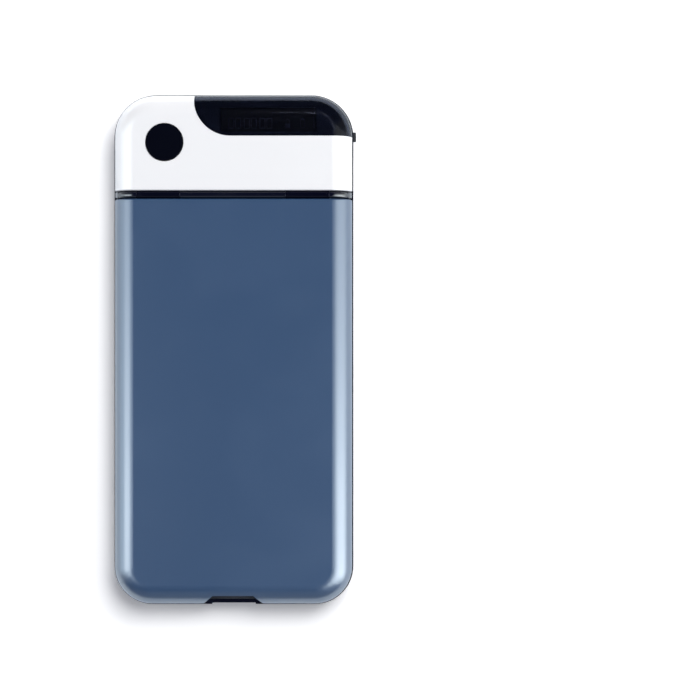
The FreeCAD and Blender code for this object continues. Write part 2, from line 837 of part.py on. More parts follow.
def motor_screws():
    """Screws through the gear motor's housing."""
    top = wall + housing_size[2]
    return Part.makeCompound([screw(x, y, top, small_screw_radius, housing_size[2], small_screw_head,
                                    small_screw_height, -1) for x, y in motor_screw_spots()])


def position_switch():
    """The switch that feels the open yoke's crossbar."""
    y0 = bar_back + sensor_gap + sensor_button
    x0 = sensor_x - sensor_size[0] / 2
    z0 = yoke_top - sensor_size[2]
    body = block(x0, x0 + sensor_size[0], y0, y0 + sensor_size[1], z0, yoke_top)
    x = sensor_button_width / 2
    button = block(sensor_x - x, sensor_x + x, y0 - sensor_button, y0,
                   yoke_bottom + slide_gap, yoke_top - slide_gap)
    return joined([body, button])


# ---------------------------------------------------------------- head cover and window
def window_zone(shrink):
    """The corner that the window takes, as an upright prism shrunk at its two inner edges."""
    left = window_left + shrink
    low = window_low + shrink
    radius = window_arc - shrink
    mid = radius * (1 - math.sqrt(0.5))
    far_x = half_width + overshoot
    far_y = half_length + overshoot
    start = V(left, low + radius, 0)
    end = V(left + radius, low, 0)
    arc = Part.Arc(start, V(left + mid, low + mid, 0), end).toShape()
    corners = [end, V(far_x, low, 0), V(far_x, far_y, 0), V(left, far_y, 0), start]
    lines = [Part.makeLine(a, b) for a, b in zip(corners, corners[1:])]
    return Part.Face(Part.Wire([arc] + lines)).extrude(V(0, 0, thickness + overshoot))


def long_bosses():
    """Posts of the head cover that its screws go into."""
    posts = []
    for x, y in boss_places:
        posts += both_sides(post(x, y, boss_radius, boss_split, thickness - wall))
    return posts


def head_cover():
    """The white head, with a seat for the window, a well for the knob and posts inside."""
    top_zone = slab(head_edge, half_length + overshoot, cover_base, thickness + overshoot)
    outer = pebble(cover_step).common(top_zone)
    outer = outer.makeFillet(head_edge_round, end_edges(outer, head_edge, cover_base))
    hollow = pebble(cover_wall).common(slab(head_edge + wall, half_length, 0, thickness))
    skin = outer.cut(hollow).cut(window_zone(0))
    seat_top = cover_step + window_wall + ledge_gap
    seat = pebble(seat_top).cut(pebble(seat_top + ledge_wall))
    seat = seat.common(window_zone(-ledge_margin)).common(top_zone)
    short = [post(x, y, board_boss_radius, board_top, thickness - wall) for x, y in board_boss_places]
    posts = joined(long_bosses() + short).common(pebble(cover_step + wall / 2))
    posts = posts.cut(window_zone(0).cut(pebble(seat_top)))
    x = display_width / 2 + aperture_margin
    y = display_depth / 2
    above = thickness + overshoot
    aperture = block(display_x - x, display_x + x, display_y - y, display_y + y, board_top, above)
    well = post(knob_x, knob_y, knob_radius + knob_gap, board_top, above)
    holes = []
    for x, y in board_boss_places:
        holes.append(post(x, y, board_screw_radius, 0, board_bottom + board_screw_length))
    for x, y in boss_places:
        holes += both_sides(post(x, y, screw_radius, 0, screw_recess + screw_head_height + screw_length))
    return joined([skin, seat, posts]).cut(joined([aperture, well] + holes))


def display_window():
    """The smoked corner piece over the display."""
    head = slab(head_edge, half_length + overshoot, cover_base, thickness + overshoot)
    skin = pebble(cover_step).cut(pebble(cover_step + window_wall))
    return skin.common(window_zone(window_gap).common(head))


def head_screws():
    """Screws from the back face into the head cover's posts."""
    z = screw_recess + screw_head_height
    screws = []
    for x, y in boss_places:
        one = screw(x, y, z, screw_radius, screw_length, screw_head_radius, screw_head_height, 1)
        screws += both_sides(one)
    return Part.makeCompound(screws)


# ---------------------------------------------------------------- circuit board and its parts
def circuit_board():
    """The main board, hung from the head cover, with round corners and bites for the long posts."""
    x = inner_width - board_side_gap
    board = plate(-x, x, head_edge + board_near, inner_end - board_end_gap,
                  board_bottom, board_top, board_low_corner, board_corner)
    cuts = [post(x, y, board_screw_radius, 0, thickness) for x, y in board_boss_places]
    for x, y in boss_places:
        cuts += both_sides(post(x, y, boss_radius + slide_gap, 0, thickness))
    return board.cut(joined(cuts))


def board_screws():
    """Screws through the board from below."""
    return Part.makeCompound([screw(x, y, board_bottom, board_screw_radius, board_screw_length,
                                    board_screw_head, board_screw_height, 1) for x, y in board_boss_places])


def on_board(place, size):
    """A block that sits on the board's upper side."""
    x, y = place
    return block(x - size[0] / 2, x + size[0] / 2, y - size[1] / 2, y + size[1] / 2,
                 board_top, board_top + size[2])


def board_components():
    """The controller chip and the wire sockets of battery and motor."""
    return Part.makeCompound([on_board(chip_place, chip_size)]
                             + [on_board(place, socket_size) for place in socket_places])


def buzzer():
    """A round sounder with a small hole in its top."""
    top = board_top + buzzer_height
    body = post(buzzer_x, buzzer_y, buzzer_radius, board_top, top)
    return body.cut(post(buzzer_x, buzzer_y, buzzer_hole, top - buzzer_height / 2, top))


def display_holder():
    """The frame that lifts the display off the board."""
    x0 = display_x - display_width / 2 - holder_lip
    x1 = display_x + display_width / 2 + holder_lip
    y0 = display_y - display_depth / 2 - holder_lip
    y1 = display_y + display_depth / 2 + holder_lip
    frame = block(x0, x1, y0, y1, board_top, board_top + holder_height)
    return frame.cut(block(x0 + holder_wall, x1 - holder_wall, y0 + holder_wall, y1 - holder_wall,
                           board_top, board_top + holder_height))


def display_module():
    """The liquid crystal cell, under the window."""
    bottom = board_top + holder_height
    cell = block(display_x - display_width / 2, display_x + display_width / 2,
                 display_y - display_depth / 2, display_y + display_depth / 2,
                 bottom, bottom + glass_thickness)
    return cell.makeChamfer(holder_lip, flat_edges(cell, bottom + glass_thickness))


def encoder_body():
    """The rotary encoder's case, with a bore for its shaft and plunger."""
    half = encoder_side / 2
    top = board_top + encoder_height
    case = block(knob_x - half, knob_x + half, knob_y - half, knob_y + half, board_top, top)
    return case.cut(post(knob_x, knob_y, encoder_shaft_radius + bore_play, board_top + encoder_floor, top))


def shaft_base():
    """Level of the encoder shaft's lower end, above the plunger."""
    return board_top + encoder_floor + plunger_travel_gap + knob_press + plunger_height


def encoder_plunger():
    """The push button under the shaft, which goes down but doesn't turn."""
    return post(knob_x, knob_y, plunger_radius, shaft_base() - plunger_height, shaft_base())


def encoder_shaft():
    """The encoder's shaft, flattened on one side where the knob sits."""
    shaft = post(knob_x, knob_y, encoder_shaft_radius, shaft_base(), knob_top - knob_hub)
    flat = block(knob_x + encoder_shaft_radius - shaft_flat, knob_x + 2 * encoder_shaft_radius,
                 knob_y - encoder_shaft_radius, knob_y + encoder_shaft_radius,
                 knob_bottom - knob_hub, knob_top)
    return shaft.cut(flat)


def knob():
    """The flat round knob with a hub under it."""
    disc = post(knob_x, knob_y, knob_radius, knob_bottom, knob_top)
    disc = disc.makeFillet(knob_edge, flat_edges(disc, knob_top))
    hub = post(knob_x, knob_y, knob_hub_radius, knob_bottom - knob_hub, knob_bottom)
    return joined([disc, hub]).cut(encoder_shaft())


# ---------------------------------------------------------------- battery, charging port and side switch
def battery():
    """A flat cell with round long edges."""
    x0 = battery_x - battery_size[0] / 2
    y0 = battery_y - battery_size[1] / 2
    top = wall + battery_size[2]
    cell = block(x0, x0 + battery_size[0], y0, y0 + battery_size[1], wall, top)
    along = [e for e in cell.Edges if abs(e.BoundBox.XLength - battery_size[0]) < 1e-3]
    return cell.makeFillet(battery_round, along)


def port_board():
    """The small board that carries the charging port."""
    y1 = inner_end - port_board_end_gap
    x = port_board_size[0] / 2
    board = block(-x, x, y1 - port_board_size[1], y1,
                  port_board_bottom, port_board_bottom + port_board_size[2])
    return board.cut(joined(both_sides(post(port_screw_x, port_screw_y, small_screw_radius, 0, thickness))))


def usb_port():
    """The port's metal shell with its tongue."""
    shell = port_outline(0)
    hollow = port_outline(-port_shell)
    hollow.translate(V(0, port_back, 0))
    z = port_board_bottom + port_board_size[2] + port_height / 2
    tongue = block(-tongue_width / 2, tongue_width / 2, half_length - port_length,
                   half_length - tongue_recess, z - tongue_height / 2, z + tongue_height / 2)
    return joined([shell.cut(hollow), tongue])


def port_screws():
    """Screws of the charging board."""
    top = port_board_bottom + port_board_size[2]
    one = screw(port_screw_x, port_screw_y, top, small_screw_radius, port_screw_length,
                small_screw_head, small_screw_height, -1)
    return Part.makeCompound(both_sides(one))


def switch_body():
    """The slide switch's case, against the inside of the side wall."""
    middle = switch_slot_low + switch_slot_length / 2
    dx, dy, dz = switch_body_size
    case = block(inner_width - dx, inner_width - switch_seat_gap, middle - dy / 2, middle + dy / 2,
                 switch_slot_middle - dz / 2, switch_slot_middle + dz / 2)
    pocket = block(inner_width - switch_pocket, inner_width, middle - switch_slot_length / 2,
                   middle + switch_slot_length / 2, switch_slot_middle - switch_slot_height / 2,
                   switch_slot_middle + switch_slot_height / 2)
    return case.cut(pocket)


def switch_slider():
    """The slide switch's nub, at its head end."""
    high = switch_slot_low + switch_slot_length - nub_end_gap
    nub = block(inner_width - switch_pocket + slide_gap, half_width + nub_proud, high - nub_length, high,
                switch_slot_middle - nub_height / 2, switch_slot_middle + nub_height / 2)
    face = [e for e in nub.Edges if e.BoundBox.XMin > half_width + nub_proud - 1e-4]
    return nub.makeFillet(nub_round, face)


# ---------------------------------------------------------------- writing the nodes
nodes = {
    "back_shell": back_shell,
    "hinge_pin": hinge_pin,
    "inner_tray": inner_tray,
    "tray_pad": tray_pad,
    "lid_shell": lid_shell,
    "lid_liner": lid_liner,
    "lid_pad": lid_pad,
    "lid_hooks": lid_hooks,
    "hook_screws": hook_screws,
    "lock_yoke": lock_yoke,
    "lock_catches": lock_catches,
    "drive_pinion": drive_pinion,
    "output_shaft": output_shaft,
    "gear_motor": gear_motor,
    "motor_screws": motor_screws,
    "position_switch": position_switch,
    "head_cover": head_cover,
    "display_window": display_window,
    "head_screws": head_screws,
    "circuit_board": circuit_board,
    "board_screws": board_screws,
    "board_components": board_components,
    "buzzer": buzzer,
    "display_holder": display_holder,
    "display_module": display_module,
    "encoder_body": encoder_body,
    "encoder_plunger": encoder_plunger,
    "encoder_shaft": encoder_shaft,
    "knob": knob,
    "battery": battery,
    "port_board": port_board,
    "usb_port": usb_port,
    "port_screws": port_screws,
    "switch_body": switch_body,
    "switch_slider": switch_slider,
}

os.makedirs("parts", exist_ok=True)
for name, make in nodes.items():
    make().exportStep("parts/" + name + ".step")
    print("wrote", name)
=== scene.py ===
# %% [markdown]
# # Dressing a timed lock container
#
# The box lies on its back: a long blue lid, a white head with a knob and a smoked window, and a navy
# back shell under both. The shapes that fit and move come from the CAD frame. This file gives every
# piece its finish, makes the head's corners a little rounder, and models the small soft and fine
# pieces that CAD leaves plain.

# %% Load the frame
import json
import math

import bmesh
import bpy
from mathutils import Matrix, Vector, noise


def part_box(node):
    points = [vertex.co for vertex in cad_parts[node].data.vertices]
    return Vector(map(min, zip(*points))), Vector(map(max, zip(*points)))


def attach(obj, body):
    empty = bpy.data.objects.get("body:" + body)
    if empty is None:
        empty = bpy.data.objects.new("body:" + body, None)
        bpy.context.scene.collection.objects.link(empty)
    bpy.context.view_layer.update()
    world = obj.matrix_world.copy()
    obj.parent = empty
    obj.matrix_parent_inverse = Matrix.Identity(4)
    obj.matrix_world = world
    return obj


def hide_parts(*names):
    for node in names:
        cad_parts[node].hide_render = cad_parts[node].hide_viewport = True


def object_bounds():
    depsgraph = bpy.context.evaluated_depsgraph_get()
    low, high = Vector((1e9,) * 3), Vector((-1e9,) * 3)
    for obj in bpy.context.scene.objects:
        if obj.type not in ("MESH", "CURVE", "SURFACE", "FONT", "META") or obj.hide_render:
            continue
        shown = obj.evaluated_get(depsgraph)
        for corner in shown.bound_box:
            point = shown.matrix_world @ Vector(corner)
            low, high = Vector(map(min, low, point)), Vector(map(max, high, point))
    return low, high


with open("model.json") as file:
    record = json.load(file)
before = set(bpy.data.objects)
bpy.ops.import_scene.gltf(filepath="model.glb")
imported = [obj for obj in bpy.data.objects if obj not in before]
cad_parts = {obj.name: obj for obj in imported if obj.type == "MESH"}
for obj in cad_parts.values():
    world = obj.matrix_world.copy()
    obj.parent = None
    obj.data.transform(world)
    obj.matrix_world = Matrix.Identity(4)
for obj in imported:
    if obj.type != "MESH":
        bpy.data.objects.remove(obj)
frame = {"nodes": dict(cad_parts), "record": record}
cad_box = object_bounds()
MM = 0.001
print("CAD box in mm:", [[round(value / MM, 2) for value in corner] for corner in cad_box])

# %% [markdown]
# ## The camera
#
# The box is seen from straight above, as on a product sheet, and lies well left of the view's middle.
# A long lens far away would flatten the rounded sides, so the camera stays close enough to see the
# form turn away. The scale is set at the front face, which is what the eye measures.

# %% Camera
VIEW_WIDTH = 289.4 * MM       # what the view covers from side to side at the front face
CAMERA_HEIGHT = 830 * MM      # above the front face
CAMERA_X = 48.6 * MM
CAMERA_Y = -0.15 * MM

front_face = cad_box[1].z
camera_data = bpy.data.cameras.new("camera")
camera_data.lens = camera_data.sensor_width * CAMERA_HEIGHT / VIEW_WIDTH
camera = bpy.data.objects.new("camera", camera_data)
camera.location = (CAMERA_X, CAMERA_Y, front_face + CAMERA_HEIGHT)
bpy.context.scene.collection.objects.link(camera)
bpy.context.scene.camera = camera
bpy.context.scene.view_settings.view_transform = "Standard"
print("lens", round(camera_data.lens, 2), "mm")

# %% [markdown]
# ## Wiring shader nodes by name
#
# Every finish below is a small graph of nodes. Such a graph can be drawn by hand in the shader editor,
# but written out it can be read and repeated. One helper adds a node and fills its inputs by name,
# whether with a value or with a wire. The others calculate, map one range to another, and mix colours.

# %% Node helpers
def wire(tree, socket, value):
    """Sets an input to a value, or links another node's output to it."""
    if isinstance(value, bpy.types.NodeSocket):
        tree.links.new(value, socket)
    else:
        socket.default_value = value


def add(tree, kind, settings=None, **sockets):
    """A new shader node, with its properties and its inputs set by name."""
    made = tree.nodes.new("ShaderNode" + kind)
    for name, value in (settings or {}).items():
        setattr(made, name, value)
    for name, value in sockets.items():
        wire(tree, made.inputs[name.replace("_", " ")], value)
    return made


def calc(tree, operation, *values):
    """One step of arithmetic on values or wires."""
    made = tree.nodes.new("ShaderNodeMath")
    made.operation = operation
    for socket, value in zip(made.inputs, values):
        wire(tree, socket, value)
    return made.outputs[0]


def spread(tree, value, low, high, to_low=0.0, to_high=1.0):
    """Maps a value from one range to another, and clamps it there."""
    made = add(tree, "MapRange", Value=value, From_Min=low, From_Max=high, To_Min=to_low, To_Max=to_high)
    return made.outputs["Result"]


def tinted(tree, mask, low, high):
    """The colour low where the mask is 0, and high where it is 1."""
    made = tree.nodes.new("ShaderNodeMix")
    made.data_type = "RGBA"
    sockets = {socket.identifier: socket for socket in made.inputs}
    wire(tree, sockets["Factor_Float"], mask)
    wire(tree, sockets["A_Color"], low)
    wire(tree, sockets["B_Color"], high)
    return next(socket for socket in made.outputs if socket.identifier == "Result_Color")


print("node helpers:", [helper.__name__ for helper in (wire, add, calc, spread, tinted)])

# %% [markdown]
# ## The key lamp
#
# The main light is a softbox at the upper right, which lays the soft shadow at the left and below. A
# small lamp would cut that shadow sharp. The key lamp lights only matt colour, so it isn't mirrored in
# the window or the glossy lid.

# %% Key lamp
KEY_PLACE = (0.54, 0.78, 1.86)
KEY_SIZE = (1.0, 1.0)
KEY_RADIANCE = 13.7


def softbox(name, place, size, radiance, target, colour=(1, 1, 1)):
    """A rectangular lamp that faces a target. Its size is level first, then upright."""
    data = bpy.data.lights.new(name, "AREA")
    data.shape = "RECTANGLE"
    data.size, data.size_y = size
    data.energy = radiance * math.pi * size[0] * size[1]
    data.color = colour
    lamp = bpy.data.objects.new(name, data)
    lamp.location = place
    lamp.rotation_euler = (Vector(target) - Vector(place)).to_track_quat("-Z", "Y").to_euler()
    lamp.visible_camera = False
    bpy.context.scene.collection.objects.link(lamp)
    return lamp


key = softbox("key_lamp", KEY_PLACE, KEY_SIZE, KEY_RADIANCE, (0, 0, 0))
key.visible_glossy = False
print("key lamp", round(key.data.energy, 1), "W")

# %% [markdown]
# ## Walls that the rounded sides mirror
#
# Each long side of the lid shows a pale band, because its rounded side turns towards a bright wall.
# One lamp per side would make an even band, but the real ones are brightest towards the foot. So on
# each side two rows of panels stand beside the box, a high wall and a smaller glow before it, and each
# row is four panels end to end that grow brighter. They light only reflections.

# %% Mirrored rows
LEFT = -1
RIGHT = 1
HEAD_ENDS = (0.30, 0.08, -0.02, -0.10)      # where the four panels of a row start, at their head ends
LEFT_WALL_COLOUR = (0.71, 0.87, 1.0)
RIGHT_WALL_COLOUR = (0.88, 0.96, 1.0)
GLOW_COLOUR = (0.95, 0.97, 1.0)


def mirrored_row(name, side, away, level, height, foot_end, colour, radiances):
    """Panels end to end along the box, seen only in reflections. Their radiances run from head to foot."""
    for head_end, end, radiance in zip(HEAD_ENDS, HEAD_ENDS[1:] + (foot_end,), radiances):
        middle = (head_end + end) / 2
        panel = softbox(f"{name}_{head_end}", (side * away, middle, level), (head_end - end, height),
                        radiance, (0, middle, 0), colour)
        panel.visible_diffuse = False


mirrored_row("left_wall", LEFT, away=0.62, level=0.43, height=1.05, foot_end=-0.30,
             colour=LEFT_WALL_COLOUR, radiances=(1.25, 1.45, 1.60, 2.10))
mirrored_row("right_wall", RIGHT, away=0.60, level=0.46, height=1.12, foot_end=-0.62,
             colour=RIGHT_WALL_COLOUR, radiances=(1.30, 1.80, 2.4, 3.4))
mirrored_row("left_glow", LEFT, away=0.50, level=0.56, height=0.48, foot_end=-0.23,
             colour=GLOW_COLOUR, radiances=(0.48, 1.05, 1.95, 3.5))
mirrored_row("right_glow", RIGHT, away=0.56, level=0.41, height=0.58, foot_end=-0.42,
             colour=GLOW_COLOUR, radiances=(0.30, 0.50, 0.90, 2.4))

# %% [markdown]
# ## The room around
#
# Flat faces mirror what is above them, and a dark ceiling keeps them deep. A plain pale world would
# wash the window and the navy strip out. The room is the world's colour by direction: the ceiling, a
# paler end beyond the foot, and bright sides. The camera sees none of it, but a white backdrop.

# %% World
CEILING = (0.018, 0.024, 0.075, 1)
FOOT_END = (0.24, 0.27, 0.34, 1)
SIDES = 0.50
FOOT_END_FADE = (-0.60, -0.76)       # in a direction's Y
SIDES_FADE = (0.22, 0.40)            # in how much more a direction points across the box than along it


def grey(level):
    """A neutral colour."""
    return (level, level, level, 1.0)


def ray_masks(tree):
    """Two masks: rays that the camera sees, straight or through the window, and mirrored rays."""
    rays = add(tree, "LightPath").outputs
    return calc(tree, "MAXIMUM", rays["Is Camera Ray"], rays["Is Transmission Ray"]), rays["Is Glossy Ray"]


world = bpy.data.worlds.new("studio")
bpy.context.scene.world = world
world.use_nodes = True
sky = world.node_tree
sky.nodes.clear()
direction = add(sky, "SeparateXYZ", Vector=add(sky, "TexCoord").outputs["Generated"]).outputs
room = tinted(sky, spread(sky, direction["Y"], *FOOT_END_FADE), CEILING, FOOT_END)
sideways = calc(sky, "SUBTRACT", calc(sky, "ABSOLUTE", direction["X"]), calc(sky, "ABSOLUTE", direction["Y"]))
room = tinted(sky, spread(sky, sideways, *SIDES_FADE), room, grey(SIDES))
seen, mirrored = ray_masks(sky)
backdrop = add(sky, "Background", Color=tinted(sky, seen, room, grey(1.0)))
wire(sky, add(sky, "OutputWorld").inputs["Surface"], backdrop.outputs[0])
print("world nodes:", len(sky.nodes))

# %% [markdown]
# ## The floor
#
# The box lies on a pale sheet that reads as white and still takes its shadow. More lamp light would
# whiten the sheet but wash out the box, so the sheet glows a little by itself. In reflections it has
# darker colours, because the real sides mirror a dimmer room near the floor.

# %% Floor
FLOOR_REACH = 4.0
FLOOR_LEVEL = -0.05 * MM                    # just clear of the flat back
FLOOR_WHITE = 0.95
FLOOR_GLOW = 0.20                           # seen by the camera and through the window
FLOOR_BOUNCE = 0.45                         # what matt sides get back from the floor
FLOOR_AHEAD = (0.14, 0.23, 0.33, 1)         # seen in reflections, under the box and beyond its ends
FLOOR_BESIDE = (0.20, 0.30, 0.40, 1)        # the same at the sides, towards the head
FLOOR_BESIDE_FOOT = (0.44, 0.54, 0.62, 1)   # and towards the foot
FLOOR_FOOT_FADE = (0.10, -0.12)             # along the box
FLOOR_BESIDE_FADE = (0.045, 0.065)          # out from the box's middle line


def start_material(name):
    """A new material and its empty graph."""
    material = bpy.data.materials.new(name)
    material.use_nodes = True
    material.node_tree.nodes.clear()
    return material, material.node_tree


def finish_material(tree, **sockets):
    """Ends a graph with the shader, its sockets set by name."""
    shader = add(tree, "BsdfPrincipled", **sockets)
    wire(tree, add(tree, "OutputMaterial").inputs["Surface"], shader.outputs[0])


floor_corners = [(x * FLOOR_REACH, y * FLOOR_REACH, FLOOR_LEVEL)
                 for x, y in ((-1, -1), (1, -1), (1, 1), (-1, 1))]
floor_mesh = bpy.data.meshes.new("floor")
floor_mesh.from_pydata(floor_corners, [], [(0, 1, 2, 3)])
floor = bpy.data.objects.new("floor", floor_mesh)
bpy.context.scene.collection.objects.link(floor)

sheet, tree = start_material("pale_floor")
seen, mirrored = ray_masks(tree)
place = add(tree, "SeparateXYZ", Vector=add(tree, "TexCoord").outputs["Object"]).outputs
beside = tinted(tree, spread(tree, place["Y"], *FLOOR_FOOT_FADE), FLOOR_BESIDE, FLOOR_BESIDE_FOOT)
outwards = spread(tree, calc(tree, "ABSOLUTE", place["X"]), *FLOOR_BESIDE_FADE)
reflected = tinted(tree, outwards, FLOOR_AHEAD, beside)
glow = tinted(tree, seen, grey(FLOOR_BOUNCE), grey(FLOOR_GLOW))
finish_material(tree, Base_Color=grey(FLOOR_WHITE), Roughness=1.0, Specular_IOR_Level=0.0,
                Emission_Color=tinted(tree, mirrored, glow, reflected), Emission_Strength=1.0)
sheet.cycles.emission_sampling = "NONE"
floor_mesh.materials.append(sheet)
print("floor", 2 * FLOOR_REACH, "m wide")

# %% [markdown]
# ## Effects that many finishes share
#
# A moulded box isn't perfectly even. The mould leaves a fine grain, hands leave faint smudges and
# hairlines, and edges rub a little paler. Image textures could show this, but they need unwrapped
# pieces and blur when seen close. So each effect is a node group: it takes a few named numbers and
# gives back masks and heights, and every material places it with its own values. Texture space is the
# piece's own, in metres, so a scale of 4000 means a feature every quarter of a millimetre.

# %% Group helpers
def start_group(name, inputs, outputs):
    """A new node group with named number inputs and number outputs."""
    group = bpy.data.node_groups.new(name, "ShaderNodeTree")
    for label, value in inputs.items():
        socket = group.interface.new_socket(label, in_out="INPUT", socket_type="NodeSocketFloat")
        socket.default_value = value
    for label in outputs:
        group.interface.new_socket(label, in_out="OUTPUT", socket_type="NodeSocketFloat")
    entry = group.nodes.new("NodeGroupInput").outputs
    result = group.nodes.new("NodeGroupOutput").inputs
    return group, entry, result


def place_group(tree, group, **values):
    """Puts a group into a material and returns its outputs."""
    made = tree.nodes.new("ShaderNodeGroup")
    made.node_tree = group
    for name, value in values.items():
        wire(tree, made.inputs[name.replace("_", " ")], value)
    return made.outputs


print("groups so far:", len(bpy.data.node_groups))

# %% Noise helpers
def own_space(tree, stretch=(1, 1, 1), turn=0.0):
    """The piece's own coordinates, stretched and turned about Z."""
    place = add(tree, "TexCoord").outputs["Object"]
    return add(tree, "Mapping", Vector=place, Scale=stretch, Rotation=(0, 0, turn)).outputs["Vector"]


def clouds(tree, scale, detail, stretch=(1, 1, 1), turn=0.0, **sockets):
    """Noise in the piece's own space. A small stretch along one axis makes streaks along it."""
    space = own_space(tree, stretch, turn)
    return add(tree, "TexNoise", Vector=space, Scale=scale, Detail=detail, **sockets).outputs["Fac"]


def strongest(tree, first, *others):
    """The largest of several masks or heights."""
    for other in others:
        first = calc(tree, "MAXIMUM", first, other)
    return first


print("noise helpers:", [helper.__name__ for helper in (own_space, clouds, strongest)])

# %% [markdown]
# ### Moulded grain
#
# Spark erosion leaves pits in a mould, and the plastic copies them. Noise alone looks too soft, so it
# is multiplied with rounded cells, which give the pits their even size. Wide clouds stand for colour
# that isn't mixed quite evenly.

# %% Moulded grain
CLOUD_RANGE = (0.3, 0.7)

moulded_grain, entry, result = start_group(
    "moulded_grain", {"Grain Scale": 4000.0, "Cloud Scale": 25.0}, ["Height", "Clouds"])
pits = clouds(moulded_grain, entry["Grain Scale"], 3.0, Roughness=0.65)
cells = add(moulded_grain, "TexVoronoi", {"feature": "SMOOTH_F1"}, Vector=own_space(moulded_grain),
            Scale=entry["Grain Scale"], Smoothness=0.6)
wire(moulded_grain, result["Height"], calc(moulded_grain, "MULTIPLY", pits, cells.outputs["Distance"]))
wide = clouds(moulded_grain, entry["Cloud Scale"], 2.0)
wire(moulded_grain, result["Clouds"], spread(moulded_grain, wide, *CLOUD_RANGE))
print("moulded_grain:", len(moulded_grain.nodes), "nodes")

# %% [markdown]
# ### Handling marks
#
# Fingers leave smudges, and cloths leave fine hairlines. Both change how dull a surface is, not its
# colour. Smudges are distorted noise. Hairlines are noise that is stretched into streaks three ways,
# with only the highest crests kept.

# %% Handling marks
SMUDGE_RANGE = (0.45, 0.70)
HAIRLINE_RANGE = (0.70, 0.74)
HAIRLINE_WAYS = (((1, 0.04, 1), 0.35), ((0.05, 1, 1), -0.2), ((1, 0.05, 1), 1.1))    # stretch and turn

handling, entry, result = start_group(
    "handling_marks", {"Smudge Scale": 30.0, "Hairline Scale": 260.0}, ["Smudge", "Hairlines"])
patches = clouds(handling, entry["Smudge Scale"], 4.0, Roughness=0.6, Distortion=0.8)
wire(handling, result["Smudge"], spread(handling, patches, *SMUDGE_RANGE))
hairlines = []
for stretch, turn in HAIRLINE_WAYS:
    streaks = clouds(handling, entry["Hairline Scale"], 1.0, stretch, turn)
    hairlines.append(spread(handling, streaks, *HAIRLINE_RANGE))
wire(handling, result["Hairlines"], strongest(handling, *hairlines))
print("handling_marks:", len(handling.nodes), "nodes")

# %% [markdown]
# ### Rubbed edges
#
# Edges are touched most and rub paler. They could be painted by hand, but the bevel node finds them: it
# rounds the surface's direction near an edge, and where that differs from the plain direction an edge
# is near. Noise breaks the line into patches.

# %% Rubbed edges
EDGE_RANGE = (0.995, 0.85)           # likeness of the two directions, from flat to edge
PATCH_RANGE = (0.35, 0.65)

rubbed_edges, entry, result = start_group(
    "rubbed_edges", {"Edge Width": 0.6 * MM, "Patch Scale": 180.0}, ["Mask"])
likeness = add(rubbed_edges, "VectorMath", {"operation": "DOT_PRODUCT"})
wire(rubbed_edges, likeness.inputs[0],
     add(rubbed_edges, "Bevel", {"samples": 4}, Radius=entry["Edge Width"]).outputs["Normal"])
wire(rubbed_edges, likeness.inputs[1], add(rubbed_edges, "NewGeometry").outputs["Normal"])
edge = spread(rubbed_edges, likeness.outputs["Value"], *EDGE_RANGE)
patches = spread(rubbed_edges, clouds(rubbed_edges, entry["Patch Scale"], 3.0), *PATCH_RANGE)
wire(rubbed_edges, result["Mask"], calc(rubbed_edges, "MULTIPLY", edge, patches))
print("rubbed_edges:", len(rubbed_edges.nodes), "nodes")

# %% [markdown]
# ### Brushed streaks
#
# Rolled and brushed metal has fine streaks along it. They are noise again, pulled out thirty-fold
# along the piece, and serve as both a height and a mask.

# %% Brushed streaks
STREAK_STRETCH = (1, 0.03, 1)
STREAK_RANGE = (0.35, 0.65)

brushed, entry, result = start_group("brushed_streaks", {"Streak Scale": 5000.0}, ["Height", "Streaks"])
along = clouds(brushed, entry["Streak Scale"], 2.0, STREAK_STRETCH)
wire(brushed, result["Height"], along)
wire(brushed, result["Streaks"], spread(brushed, along, *STREAK_RANGE))
print("brushed_streaks:", len(brushed.nodes), "nodes")

# %% [markdown]
# ### Felt fibres
#
# Felt has no weave: its short fibres lie every way. Real hairs on a pad this thin would cost a lot and
# show little. The highest of three stretched noises, turned against each other, looks like tangled
# fibres, and flecks stand for darker and paler wool.

# %% Felt fibres
FIBRE_STRETCH = (1, 0.12, 1)
FIBRE_TURNS = (0.4, 1.5, 2.6)
FLECK_RANGE = (0.38, 0.62)

fibres, entry, result = start_group(
    "felt_fibres", {"Fibre Scale": 1400.0, "Fleck Scale": 900.0}, ["Height", "Flecks"])
strands = [clouds(fibres, entry["Fibre Scale"], 2.0, FIBRE_STRETCH, turn, Distortion=1.5)
           for turn in FIBRE_TURNS]
wire(fibres, result["Height"], strongest(fibres, *strands))
wire(fibres, result["Flecks"], spread(fibres, clouds(fibres, entry["Fleck Scale"], 4.0), *FLECK_RANGE))
print("felt_fibres:", len(fibres.nodes), "nodes")

# %% [markdown]
# ## Colours
#
# A maker gives a colour as a screen shows it, from 0 to 255, but Blender calculates with light, in
# linear values. One helper turns the first into the second, and another makes a colour lighter or
# darker, because every finish varies a little around its own colour.

# %% Colour helpers
def paint(red, green, blue):
    """A colour given as a screen shows it, from 0 to 255, in Blender's linear values."""
    def linear(part):
        part = part / 255
        return part / 12.92 if part <= 0.04045 else ((part + 0.055) / 1.055) ** 2.4
    return (linear(red), linear(green), linear(blue), 1.0)


def scaled(colour, factor):
    """A colour made lighter or darker by a factor."""
    return tuple(part * factor for part in colour[:3]) + (1.0,)


print("lid blue in linear values:", [round(part, 4) for part in paint(42, 70, 103)])

# %% [markdown]
# ## Moulded plastics
#
# Most of the box is injection-moulded plastic, which differs in colour, gloss and grain. Each piece
# could have a graph of its own, but one recipe serves them all: clouds shift the colour by a few
# percent at most, smudges and hairlines change the roughness, edges can be rubbed paler, and the grain
# is a bump of a few hundredths of a millimetre or less. What is the same all over a piece is set on the
# shader's own sockets.

